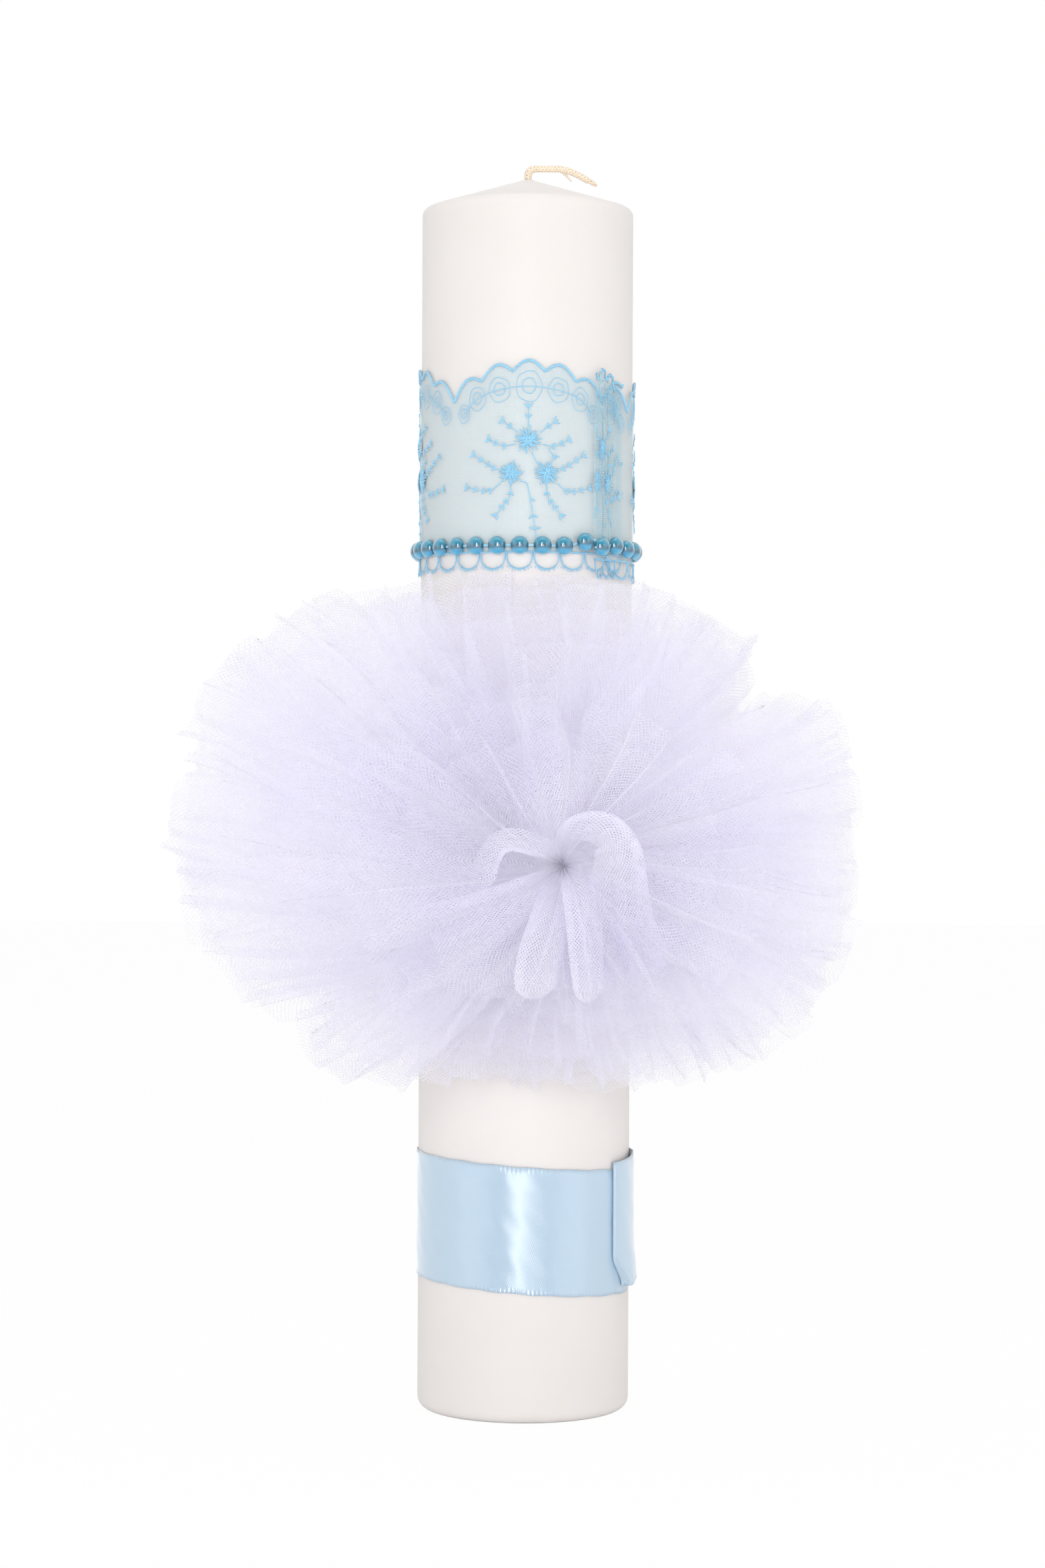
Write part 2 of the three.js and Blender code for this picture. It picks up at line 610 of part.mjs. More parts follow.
// Satin ribbon. It runs from its inner end at the right, round the left and the back, climbs over
// its own start and ends in a hem folded under itself.
const ribbonInnerRadius = CANDLE_RADIUS + SEAT_GAP + RIBBON_THICKNESS / 2;
const ribbonHemRadius = ribbonInnerRadius + RIBBON_THICKNESS + SEAT_GAP;
const ribbonOuterRadius = ribbonHemRadius + RIBBON_THICKNESS + SEAT_GAP + RIBBON_STAND_OFF;
const ribbonFold = RIBBON_FOLD_ANGLE - FULL_TURN;
const ribbonClimbEnd = RIBBON_INNER_END_ANGLE - FULL_TURN + LAP_CLEAR_ANGLE;

function ribbonRadius(angle) {
  const climbed = smoothstep(-angle, -ribbonClimbEnd - RIBBON_CLIMB_ANGLE, -ribbonClimbEnd);
  return THREE.MathUtils.lerp(ribbonInnerRadius, ribbonOuterRadius, climbed);
}

function ribbonMiddle(angle) {
  const tilt = RIBBON_TILT * CANDLE_RADIUS * Math.sin(rad(angle));
  const rise = RIBBON_BACK_RISE * smoothstep(-angle, RIBBON_RISE_FROM, RIBBON_RISE_TO);
  const fall = RIBBON_END_FALL * smoothstep(-angle, RIBBON_RISE_TO, -ribbonFold);
  return RIBBON_MIDDLE_HEIGHT + tilt + rise - fall;
}

function ribbonSolid() {
  const wrapSteps = 52;
  const foldSteps = 4;
  const hemSteps = 3;
  const heights = [0, RIBBON_CORNER_HEIGHT, RIBBON_WIDTH];
  const foldRadius = (ribbonOuterRadius - ribbonHemRadius) / 2;
  const hemAngle = wrapAngle(RIBBON_HEM, ribbonHemRadius);
  const columns = wrapSteps + foldSteps + hemSteps;
  const point = (row, column) => {
    const cornerTurn = row === 0 ? wrapAngle(RIBBON_CORNER_TURN, ribbonOuterRadius) : 0;
    const foldAngle = ribbonFold + cornerTurn;
    const above = heights[row] - RIBBON_WIDTH / 2;
    if (column <= wrapSteps) {
      const straight = THREE.MathUtils.lerp(RIBBON_INNER_END_ANGLE, ribbonFold, column / wrapSteps);
      const angle = straight + cornerTurn * smoothstep(-straight, -ribbonClimbEnd, -ribbonFold);
      return wrapPoint(ribbonRadius(straight), angle, ribbonMiddle(straight) + above);
    }
    const turn = Math.PI * Math.min((column - wrapSteps) / foldSteps, 1);
    const radius = (ribbonOuterRadius + ribbonHemRadius) / 2 + foldRadius * Math.cos(turn);
    const past = wrapAngle(foldRadius * Math.sin(turn), radius);
    const hemShare = Math.max(column - wrapSteps - foldSteps, 0) / hemSteps;
    const angle = foldAngle - past + hemAngle * hemShare;
    return wrapPoint(radius, angle, ribbonMiddle(foldAngle) + above);
  };
  return sheetSolid({ rows: heights.length - 1, columns, point, thickness: RIBBON_THICKNESS });
}

// Line of glue under the outer end of the ribbon, between the hem and the inner end
function ribbonGlue() {
  const low = ribbonInnerRadius + RIBBON_THICKNESS / 2 + SEAT_GAP;
  const high = ribbonOuterRadius - RIBBON_THICKNESS / 2 - SEAT_GAP;
  const start = RIBBON_FOLD_ANGLE + wrapAngle(RIBBON_HEM + RIBBON_GLUE_MARGIN, ribbonHemRadius);
  const span = wrapAngle(RIBBON_GLUE_WIDTH, ribbonHemRadius);
  const bottom = ribbonMiddle(start - FULL_TURN) - RIBBON_WIDTH / 2;
  const heights = [RIBBON_CORNER_HEIGHT + RIBBON_GLUE_MARGIN, RIBBON_WIDTH - 3 * RIBBON_GLUE_MARGIN];
  const point = (row, column) =>
    wrapPoint((low + high) / 2, start + span * (1 - column), bottom + heights[row]);
  return sheetSolid({ rows: 1, columns: 1, point, thickness: high - low });
}

addPiece("candle_body", candleBody(), WAX);
addPiece("wick", wickSolid(), COTTON);
addPiece("lace_band", laceBand(), LACE);
addPiece("lace_glue_strip", laceGlue(), GLUE);

const stations = strandStations();
const pearlShape = pearlGeometry();
addPiece("pearl_thread", strandThread(stations), CLEAR_THREAD);
stations.forEach((station, number) => {
  const pearl = addPiece(`pearl_${String(number + 1).padStart(2, "0")}`, pearlShape, PEARL);
  placeOnStrand(pearl, station, station.along);
});
const topStation = stations[stations.length - 1];
const level = new THREE.Vector3(-topStation.outward.y, topStation.outward.x, 0);
placeOnStrand(addPiece("strand_glue_dab", strandGlue(topStation), GLUE), topStation, level);

const pompom = new THREE.Group();
pompom.position.set(POMPOM_OFFSET, -CANDLE_RADIUS, POMPOM_HEIGHT);
candle.add(pompom);
for (let tier = 0; tier < TIERS; tier += 1) {
  addPiece(`tulle_tier_${tier + 1}`, tulleTier(tier), TULLE, pompom);
}
for (let petal = 0; petal < PETALS; petal += 1) {
  addPiece(`tulle_petal_${petal + 1}`, tullePetal(petal), TULLE, pompom);
}
addPiece("gather_thread", gatherThread(), COTTON, pompom);
addPiece("pompom_glue_pad", gluePad(), GLUE);

addPiece("satin_ribbon", ribbonSolid(), SATIN);
addPiece("ribbon_glue_line", ribbonGlue(), GLUE);

export default candle;
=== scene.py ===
"""A decorated baptism candle: wax pillar, lace band, pearl strand, tulle pompom and satin ribbon.

Laid out as a Blender add-on and run as a script. Lengths are in millimetres unless a name says otherwise,
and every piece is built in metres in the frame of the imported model.
"""

import math
from typing import NamedTuple

import bpy
import numpy as np
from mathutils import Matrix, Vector


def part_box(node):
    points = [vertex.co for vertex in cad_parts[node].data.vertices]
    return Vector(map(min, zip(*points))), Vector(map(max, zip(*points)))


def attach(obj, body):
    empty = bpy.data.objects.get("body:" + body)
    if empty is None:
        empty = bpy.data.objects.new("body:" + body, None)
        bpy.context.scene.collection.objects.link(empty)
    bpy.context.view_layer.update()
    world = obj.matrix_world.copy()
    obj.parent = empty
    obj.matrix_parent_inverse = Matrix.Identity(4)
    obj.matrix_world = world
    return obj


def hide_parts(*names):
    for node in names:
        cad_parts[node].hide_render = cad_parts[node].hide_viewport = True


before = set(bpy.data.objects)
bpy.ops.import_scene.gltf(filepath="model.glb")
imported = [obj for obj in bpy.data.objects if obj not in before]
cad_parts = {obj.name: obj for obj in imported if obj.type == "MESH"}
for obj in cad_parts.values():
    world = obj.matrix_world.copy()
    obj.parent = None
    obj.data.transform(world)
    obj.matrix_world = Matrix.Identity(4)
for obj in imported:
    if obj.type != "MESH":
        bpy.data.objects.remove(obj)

bl_info = {
    "name": "Decorated baptism candle",
    "version": (1, 0, 0),
    "blender": (4, 5, 0),
    "location": "View3D > Sidebar > Candle",
    "description": "Builds a wax pillar dressed with lace, pearls, a tulle pompom and a satin ribbon",
    "category": "Add Mesh",
}

MM = 0.001
# Rings of points on an axis stand this far off it, so that their faces keep an area
ON_AXIS = 0.01
BODY = "root"
TURN = 2 * math.pi
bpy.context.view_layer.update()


def node_box(name):
    """Lowest and highest corner of a CAD node in millimetres."""
    low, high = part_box(name)
    return np.array(low) / MM, np.array(high) / MM


# Places read from the frame
CANDLE_RADIUS, _, APEX_HEIGHT = node_box("candle_body")[1]
POMPOM_X, _, POMPOM_Z = sum(node_box("gather_thread")) / 2
POMPOM_ORIGIN = np.array([POMPOM_X, -CANDLE_RADIUS, POMPOM_Z])
PEARLS = sorted(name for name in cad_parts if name.startswith("pearl_") and name[6:].isdigit())

# Wax pillar
CONE_HEIGHT = 11
SHOULDER_ROUNDING = 2.5
BASE_ROUNDING = 4
WAX_UNDER_WICK = 8
WAX_FACETS = 192
WAX_SETTLING = 0.12
WAX_SETTLED_FROM = 380
WAX_SETTLED_TO = 405
# The wax next to the wick keeps its level
WAX_LEVEL_RADIUS = 3
WAX_MOTTLE_SIZE = 35.7
WAX_RIPPLE_SIZE = 6.25

# Clearances of the wraps, as in the CAD
SEAT_GAP = 0.25
LAP_CLEAR_ANGLE = 2

# Wick
WICK_RADIUS = 1.25
WICK_HOLE_RADIUS = WICK_RADIUS + 0.3
WICK_RISE = 3.3
WICK_BEND_RADIUS = 2.2
WICK_LEVEL_RUN = 8
WICK_DROOP_RUN = 12.5
WICK_DROOP = 5.8
WICK_DROOP_CURVE = 1.6
WICK_PLAIT = 4.6
WICK_STRANDS = 8
WICK_STRAND_RADIUS = 0.42
WICK_FRAY_LENGTH = 5
WICK_KNOB_AT = 6.5
WICK_KNOB_LENGTH = 2.4
# The core ends before the frayed tip
WICK_CORE_REACH = 18
# The height that the cone's sides point at, above the hole of the wick
CONE_TIP_HEIGHT = APEX_HEIGHT + WICK_HOLE_RADIUS * CONE_HEIGHT / CANDLE_RADIUS

# Lace band
LACE_THICKNESS = 0.25
LACE_GLUE_THICKNESS = 0.2
LACE_LOWER_CORD = 281.6
LACE_VALLEY = 330.4
LACE_ARCH_HEIGHT = 9.8
LACE_ARCH_CURVE = 0.8
LACE_LOBE_HEIGHT = 3.2
LACE_LOBES = 5
LACE_REPEAT = 52.5
LACE_REPEAT_CENTRE_ANGLE = 1
LACE_INNER_END_ANGLE = 61.6
LACE_LAP_LENGTH = 15.4
LACE_LAP_DROP = 2
LACE_DROP_FROM = 180
LACE_DROP_TO = 270
LACE_CLIMB_ANGLE = 21
LACE_LOOP_PITCH = 8.8
LACE_LOOP_DEPTH = 5.4
LACE_LOOP_POST_SHARE = 0.18
# The real meshes are 0.55 mm wide, drawn coarser so that they show
LACE_NET_PITCH = 0.7
LACE_NET_THREAD_SHARE = 0.085
LACE_NET_COLUMNS = 340
LACE_NET_ROWS = 30
LACE_CORD_POINTS = 620
# The outer end is bunched from here on, so its flowers crowd together over the lap
BUNCH_START_ANGLE = -308
BUNCH_LENGTH_PER_DEGREE = 1.82
BUNCH_RIPPLE = 0.4
BUNCH_RIPPLE_PITCH = 3.4
BUNCH_EASE = 8
# Worked out from the values above. Lengths along the lace run from the middle of the front
LACE_RADIUS = CANDLE_RADIUS + SEAT_GAP + LACE_THICKNESS / 2
LACE_LAP_LIFT = LACE_THICKNESS + LACE_GLUE_THICKNESS + 2 * SEAT_GAP
LACE_CLIMB_END = LACE_INNER_END_ANGLE - 360 + LAP_CLEAR_ANGLE
LACE_OUTER_END_ANGLE = LACE_INNER_END_ANGLE - 360 - math.degrees(LACE_LAP_LENGTH / LACE_RADIUS)
LACE_START = math.radians(LACE_INNER_END_ANGLE) * LACE_RADIUS
LACE_CENTRE = math.radians(LACE_REPEAT_CENTRE_ANGLE) * LACE_RADIUS
BUNCH_START = math.radians(BUNCH_START_ANGLE) * LACE_RADIUS
LACE_END = BUNCH_START + (LACE_OUTER_END_ANGLE - BUNCH_START_ANGLE) * BUNCH_LENGTH_PER_DEGREE

# Embroidery of one repeat, measured from the lower cord in its middle
RINGS = [(0, 53.4, 4.2, 5.0), (9.65, 52.3, 3.5, 4.0), (17.3, 49.6, 2.9, 3.8), (22.3, 45.0, 2.2, 3.0)]
RING_POINTS = 26
FLOWERS = [(-0.2, 36.2, 4.3), (-5.9, 25.4, 4.0), (5.9, 25.3, 4.0)]
# Petals, where they start, their reach as a share of the flower's radius, and their lift off the net
PETAL_RINGS = [(30, 1.2, 1.05, 0.3), (26, 0.5, 0.8, 0.46), (18, 0.1, 0.5, 0.62)]
TWIGS_ON_BOTH_SIDES = [
    [(3.6, 38.4), (6.0, 40.4), (8.3, 42.0)],
    [(4.1, 34.8), (8.4, 34.2), (12.8, 36.2)],
    [(9.2, 26.2), (12.1, 27.5), (18.3, 31.4)],
    [(9.3, 22.2), (12.3, 19.9), (15.6, 19.9), (20.6, 21.0)],
    [(5.9, 21.2), (6.3, 17.6), (10.5, 12.2)],
]
TWIGS_IN_THE_MIDDLE = [[(-0.2, 40.5), (-0.2, 43.5), (-0.2, 46.6)], [(6.3, 33.6), (8.1, 31.1)]]
STEMS = [
    [(0.9, 32.3), (2.2, 29.6), (4.0, 27.7)],
    [(-3.1, 22.8), (-0.7, 22.2), (0.4, 17.8), (2.1, 7.4), (2.7, 1.5)],
]
# Places and headings in radians
STEM_LEAVES = [
    ((0.5, 17.4), -0.6), ((1.4, 12.0), -0.5), ((1.4, 12.0), -2.4), ((2.1, 7.4), 0.3), ((2.1, 7.4), 2.9),
]
LEAF_SPACING = 2.9
PICOTS = 10
# Loose stitches over the top cord
FUZZ_SPACING = 0.75
FUZZ_LENGTH = 1.0

# Pearls
PEARL_DIAMETER = 6
PEARL_HEIGHT = 2.9
PEARL_RIM = 0.4
PEARL_FACETS = 40

# Tulle pompom
POMPOM_HALF_WIDTH = 110
POMPOM_HALF_HEIGHT = 83
POMPOM_OVAL_POWER = 2.3
POMPOM_OVAL_SHIFT = (-13, 8.8)
NECK_HEIGHT = 5
NECK_BASE = 3
# The share of a ply's slant that lies in the neck, before the gather
NECK_SHARE = 0.12
TIER_SIDE_FALL = 11
GATHER_SPIN = math.radians(28)
BLADE_STEPS = 12
PLY_ROWS = 26
TULLE_NET_PITCH = 1.05
TULLE_NET_STRETCH = 1.25
TULLE_MOTTLE_SIZE = 33.3
GATHER_TURNS = 4
GATHER_HALF_LENGTH = 1.4
GATHER_THREAD_SHARE = 0.42
# The front plies stand up along the axis for this share of their slant before they open
STEM_SHARE = 0.3
# The cut sheets bulge or fall short of the oval: direction and spread in degrees, share of the reach
OUTLINE_BULGES = [
    (8, 12, -0.01), (41, 6, -0.22), (134, 10, 0.03), (150, 13, 0.045), (178, 9, 0.02),
    (210.5, 4.5, -0.1), (226, 9, 0.05), (252, 20, -0.045), (322, 27, 0.075),
]

# Satin ribbon
RIBBON_WIDTH = 41
RIBBON_THICKNESS = 0.25
RIBBON_MIDDLE_HEIGHT = 62.7
RIBBON_TILT = -0.0717
RIBBON_INNER_END_ANGLE = 75
RIBBON_FOLD_ANGLE = 55 - 360
RIBBON_CLIMB_ANGLE = 23
RIBBON_CLIMB_END = RIBBON_INNER_END_ANGLE - 360 + LAP_CLEAR_ANGLE
RIBBON_BACK_RISE = 5
RIBBON_RISE_FROM = 90
RIBBON_RISE_TO = 270
RIBBON_END_FALL = 2.6
RIBBON_STAND_OFF = 0.45
RIBBON_HEM = 8
RIBBON_CORNER_HEIGHT = 10
RIBBON_CORNER_TURN = 6
RIBBON_CORNER_LIFT = 1.8
RIBBON_ROWS = 28
RIBBON_INNER_RADIUS = CANDLE_RADIUS + SEAT_GAP + RIBBON_THICKNESS / 2
RIBBON_HEM_RADIUS = RIBBON_INNER_RADIUS + RIBBON_THICKNESS + SEAT_GAP
RIBBON_OUTER_RADIUS = RIBBON_HEM_RADIUS + RIBBON_THICKNESS + SEAT_GAP + RIBBON_STAND_OFF
# The real floats are 0.2 mm apart, drawn coarser so that they show
SATIN_FLOAT_PITCH = 0.7
SATIN_ROW_PITCH = 0.9
SELVEDGE_PUCKER_PITCH = 1.4

# Hot-melt glue
GLUE_RIPPLE_SIZE = 1.67

# Camera, as the photograph was taken: level, with the candle's axis almost in its middle
CAMERA_DISTANCE = 1150
CAMERA_HEIGHT = 206.8
CAMERA_SIDE_STEP = -0.95
CAMERA_ROLL = -0.26
CAMERA_LENS = 79.41
SENSOR_HEIGHT = 36

# Lamps, in metres: name, outline, place, width and height, the setting of its power, its share of that
LAMP_TARGET = Vector((0, 0, 0.21))
LAMPS = [
    ("softbox_left", "SQUARE", (-1.4, -1.1, 0.5), (1.2, 1.2), "softbox_power", 1.0),
    ("softbox_right", "SQUARE", (1.4, -1.1, 0.5), (1.2, 1.2), "softbox_power", 1.15),
    ("low_fill", "SQUARE", (0.1, -1.7, 0.1), (1.0, 1.0), "softbox_power", 2.4),
    ("top_softbox", "SQUARE", (0.0, -0.1, 1.5), (0.9, 0.9), "softbox_power", 0.4),
    ("cone_lamp", "SQUARE", (0.0, 0.03, 0.62), (0.15, 0.15), "cone_lamp_power", 1.0),
    ("round_lamp", "DISK", (0.0, -1.35, 0.8), (0.36, 0.36), "round_lamp_power", 1.0),
    ("strip_lamp", "RECTANGLE", (-0.12, -1.45, 0.42), (0.08, 0.8), "strip_lamp_power", 1.0),
]
FLOOR_HALF_WIDTH = 4.0


def linear(hex_colour):
    """An sRGB hex colour as linear RGBA."""
    parts = [int(hex_colour[i : i + 2], 16) / 255 for i in (0, 2, 4)]
    return (*[p / 12.92 if p <= 0.04045 else ((p + 0.055) / 1.055) ** 2.4 for p in parts], 1.0)


def smoothstep(value, low, high):
    share = np.clip((value - low) / (high - low), 0, 1)
    return share * share * (3 - 2 * share)


def lerp(start, end, share):
    return start + (end - start) * share


def as_points(*coordinates):
    """Points from their coordinates, which are broadcast together."""
    return np.stack(np.broadcast_arrays(*coordinates), -1)


def unit(vectors):
    return vectors / (np.linalg.norm(vectors, axis=-1, keepdims=True) + 1e-12)


def travelled(path):
    """Length along a path at each of its points."""
    return np.r_[0, np.cumsum(np.linalg.norm(np.diff(path, axis=0), axis=1))]


# Shapes


class Shape:
    """Points in millimetres, faces and texture places in millimetres, gathered for one piece."""

    def __init__(self):
        self.points = []
        self.faces = []
        self.places = []
        self.count = 0

    def add(self, points, faces, places=None):
        self.points.append(np.asarray(points, float))
        self.faces.extend([[corner + self.count for corner in face] for face in faces])
        self.places.append(np.zeros((len(points), 2)) if places is None else places)
        self.count += len(points)
        return self

    def moved(self, change):
        """The same faces on points passed through change, a function of an (n, 3) array."""
        self.points = [change(np.vstack(self.points))]
        return self


def grid_faces(rows, columns, ring=False, closed=False):
    """Quads over rows x columns cells. ring joins the last column to the first, closed the last row."""
    stride = columns if ring else columns + 1
    faces = []
    for row in range(rows):
        low = row * stride
        high = 0 if closed and row == rows - 1 else low + stride
        for column in range(columns):
            after = (column + 1) % stride
            faces.append([low + column, low + after, high + after, high + column])
    return faces


def add_tube(shape, path, radius, sides=6, flatness=1.0, closed=False):
    """A round or flattened thread along a path. radius is one number or one for each point."""
    path = np.asarray(path, float)
    count = len(path)
    steps = np.roll(path, -1, 0) - np.roll(path, 1, 0) if closed else np.gradient(path, axis=0)
    tangents = unit(steps)
    guide = (0.0, 1.0, 0.0) if abs(tangents[:, 2]).max() > 0.95 else (0.0, 0.0, 1.0)
    across = unit(np.cross(tangents, guide))
    up = np.cross(across, tangents)
    angles = TURN * np.arange(sides) / sides
    ring = np.cos(angles)[:, None] * across[:, None] + flatness * np.sin(angles)[:, None] * up[:, None]
    points = path[:, None] + np.broadcast_to(radius, count)[:, None, None] * ring
    places = as_points(travelled(path)[:, None], angles * float(np.mean(radius)))
    faces = grid_faces(count if closed else count - 1, sides, ring=True, closed=closed)
    if not closed:
        faces.append(list(range(sides))[::-1])
        faces.append(list(range((count - 1) * sides, count * sides)))
    return shape.add(points.reshape(-1, 3), faces, places.reshape(-1, 2))


def smooth_path(corners, spacing=0.5):
    """A smooth curve through corners, with points about spacing apart."""
    corners = np.asarray(corners, float)
    padded = np.vstack([2 * corners[0] - corners[1], corners, 2 * corners[-1] - corners[-2]])
    pieces = []
    for i in range(1, len(padded) - 2):
        before, start, end, after = padded[i - 1 : i + 3]
        steps = max(2, int(np.linalg.norm(end - start) / spacing))
        t = (np.arange(steps) / steps)[:, None]
        squared = (2 * before - 5 * start + 4 * end - after) * t**2
        cubed = (3 * start - before - 3 * end + after) * t**3
        pieces.append(0.5 * (2 * start + (end - before) * t + squared + cubed))
    return np.vstack([*pieces, corners[-1:]])


def revolved(profile, sides):
    """Rings of points round Z from a profile of (radius, height), one row for each of its points."""
    turns = TURN * np.arange(sides) / sides
    radius, height = profile[:, :1], profile[:, 1:]
    return as_points(radius * np.cos(turns), radius * np.sin(turns), height)


def arc(centre, height, radius, start, end, count):
    """Points of a profile on an arc, its angles in radians from outwards to up."""
    turns = np.linspace(start, end, count)
    return as_points(centre + radius * np.cos(turns), height + radius * np.sin(turns))


def make_piece(name, shape, material, stands_for=(), origin=(0, 0, 0)):
    """One object from a Shape, riding on the candle, with its finish and the CAD nodes it stands for."""
    mesh = bpy.data.meshes.new(name)
    mesh.from_pydata((np.vstack(shape.points) * MM).tolist(), [], shape.faces)
    mesh.polygons.foreach_set("use_smooth", [True] * len(mesh.polygons))
    corners = np.zeros(len(mesh.loops), np.int32)
    mesh.loops.foreach_get("vertex_index", corners)
    layer = mesh.uv_layers.new(name="Cloth")
    layer.uv.foreach_set("vector", np.vstack(shape.places)[corners].astype(np.float32).ravel())
    mesh.materials.append(material)
    mesh.update()
    made = bpy.data.objects.new(name, mesh)
    made.location = Vector(origin) * MM
    bpy.context.scene.collection.objects.link(made)
    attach(made, BODY)
    if stands_for:
        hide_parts(*stands_for)
    return made


def finish_node(name, material):
    """Gives a CAD node that stays a better material."""
    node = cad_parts[name]
    node.data.materials.clear()
    node.data.materials.append(material)


# Materials


def add_node(tree, kind, inputs=None, output=0, **settings):
    """Adds a shader node and returns one output. inputs maps sockets to values or to other outputs."""
    made = tree.nodes.new("ShaderNode" + kind)
    for key, value in settings.items():
        setattr(made, key, value)
    for key, value in (inputs or {}).items():
        if isinstance(value, bpy.types.NodeSocket):
            tree.links.new(value, made.inputs[key])
        else:
            made.inputs[key].default_value = value
    return made.outputs[output] if made.outputs else None


def new_material(name):
    material = bpy.data.materials.new(name)
    material.use_nodes = True
    material.node_tree.nodes.clear()
    return material, material.node_tree


def mottling(tree, size, detail=2.0):
    """Soft noise through the piece, with patches about size millimetres wide."""
    place = add_node(tree, "TexCoord", output="Object")
    inputs = {"Vector": place, "Scale": 1 / (size * MM), "Detail": detail}
    return add_node(tree, "TexNoise", inputs, "Fac")


def cloth_places(tree):
    """Millimetres along and across the cloth, as each shape laid them out."""
    place = add_node(tree, "UVMap", uv_map="Cloth")
    return add_node(tree, "SeparateXYZ", {0: place}).node.outputs[:2]


def ripples(tree, place, pitch):
    """A sine along a place, from -1 to 1, that repeats every pitch millimetres."""
    turn = add_node(tree, "Math", {0: place, 1: TURN / pitch}, operation="MULTIPLY")
    return add_node(tree, "Math", {0: turn}, operation="SINE")


def net_mask(tree, pitch, thread_share, stretch=1.0, diagonal=True):
    """1 on the threads of a net laid out in the piece's texture places, and 0 in its holes."""
    along, across = cloth_places(tree)
    first = add_node(tree, "Math", {0: along, 1: pitch}, operation="DIVIDE")
    second = add_node(tree, "Math", {0: across, 1: pitch * stretch}, operation="DIVIDE")
    lines = [first, second]
    if diagonal:
        lines = [
            add_node(tree, "Math", {0: first, 1: second}, operation=way) for way in ("ADD", "SUBTRACT")
        ]
    off_lines = []
    for line in lines:
        wrapped = add_node(tree, "Math", {0: line, 1: 0.5, 2: -0.5}, operation="WRAP")
        off_lines.append(add_node(tree, "Math", {0: wrapped}, operation="ABSOLUTE"))
    nearest = add_node(tree, "Math", {0: off_lines[0], 1: off_lines[1]}, operation="MINIMUM")
    return add_node(tree, "Math", {0: nearest, 1: thread_share}, operation="LESS_THAN")


def through_holes(tree, mask, shader):
    """The shader where mask is 1 and nothing where it is 0."""
    hole = add_node(tree, "BsdfTransparent")
    return add_node(tree, "MixShader", {0: mask, 1: hole, 2: shader})


def moulded_wax(colour, shade):
    """Moulded paraffin wax: milky, with light scattered under a satin skin and faint soft mottling."""
    material, tree = new_material("moulded_paraffin_wax")
    cloud = mottling(tree, WAX_MOTTLE_SIZE, 3.0)
    ripple = mottling(tree, WAX_RIPPLE_SIZE)
    shader = add_node(tree, "BsdfPrincipled", {
        "Base Color": add_node(tree, "Mix", {0: cloud, 6: colour, 7: shade}, 2, data_type="RGBA"),
        "Roughness": add_node(tree, "MapRange", {"Value": cloud, "To Min": 0.44, "To Max": 0.56}),
        "IOR": 1.4,
        "Normal": add_node(tree, "Bump", {"Height": ripple, "Strength": 0.05, "Distance": 0.4 * MM}),
        "Subsurface Weight": 0.35,
        "Subsurface Radius": (3.5 * MM, 2.8 * MM, 2.2 * MM),
        "Subsurface Scale": 1.0,
    })
    add_node(tree, "OutputMaterial", {"Surface": shader})
    return material


def twisted_thread(name, colour, shade, pitch, roughness, sheen=0.4):
    """Twisted thread: fine slanting plies, with painted light on their backs and painted shade between them.
    """
    material, tree = new_material(name)
    along, across = cloth_places(tree)
    slant = add_node(tree, "Math", {0: across, 1: 1.4, 2: along}, operation="MULTIPLY_ADD")
    plies = ripples(tree, slant, pitch)
    lift = add_node(tree, "Math", {0: plies, 1: 0.5, 2: 0.5}, operation="MULTIPLY_ADD")
    # Painted shade: the shade colour lies in the grooves between the plies, and the lighter colour on their
    # backs
    shader = add_node(tree, "BsdfPrincipled", {
        "Base Color": add_node(tree, "Mix", {0: lift, 6: shade, 7: colour}, 2, data_type="RGBA"),
        "Roughness": roughness,
        "Sheen Weight": sheen,
        "Sheen Roughness": 0.4,
        "Normal": add_node(tree, "Bump", {"Height": lift, "Strength": 0.5, "Distance": 0.12 * MM}),
    })
    add_node(tree, "OutputMaterial", {"Surface": shader})
    return material


def knitted_tulle(colour, shade):
    """Nylon tulle: a stiff knitted net, matt and slightly see-through, lighter where light comes through."""
    material, tree = new_material("knitted_nylon_tulle")
    share = add_node(tree, "Attribute", output="Fac", attribute_name="thread_share")
    mask = net_mask(tree, TULLE_NET_PITCH, share, TULLE_NET_STRETCH)
    cloud = mottling(tree, TULLE_MOTTLE_SIZE)
    tint = add_node(tree, "Mix", {0: cloud, 6: shade, 7: colour}, 2, data_type="RGBA")
    front = add_node(tree, "BsdfPrincipled", {
        "Base Color": tint,
        "Roughness": 0.6,
        "IOR": 1.5,
        "Sheen Weight": 0.25,
        "Sheen Roughness": 0.5,
    })
    behind = add_node(tree, "BsdfTranslucent", {"Color": tint})
    thread = add_node(tree, "MixShader", {0: 0.6, 1: front, 2: behind})
    add_node(tree, "OutputMaterial", {"Surface": through_holes(tree, mask, thread)})
    return material


def fine_net(colour):
    """Fine nylon net ground of the lace: a pale veil of square meshes."""
    material, tree = new_material("fine_nylon_net")
    mask = net_mask(tree, LACE_NET_PITCH, LACE_NET_THREAD_SHARE, diagonal=False)
    thread = add_node(tree, "BsdfPrincipled", {
        "Base Color": colour,
        "Roughness": 0.5,
        "IOR": 1.5,
        "Sheen Weight": 0.2,
    })
    add_node(tree, "OutputMaterial", {"Surface": through_holes(tree, mask, thread)})
    return material


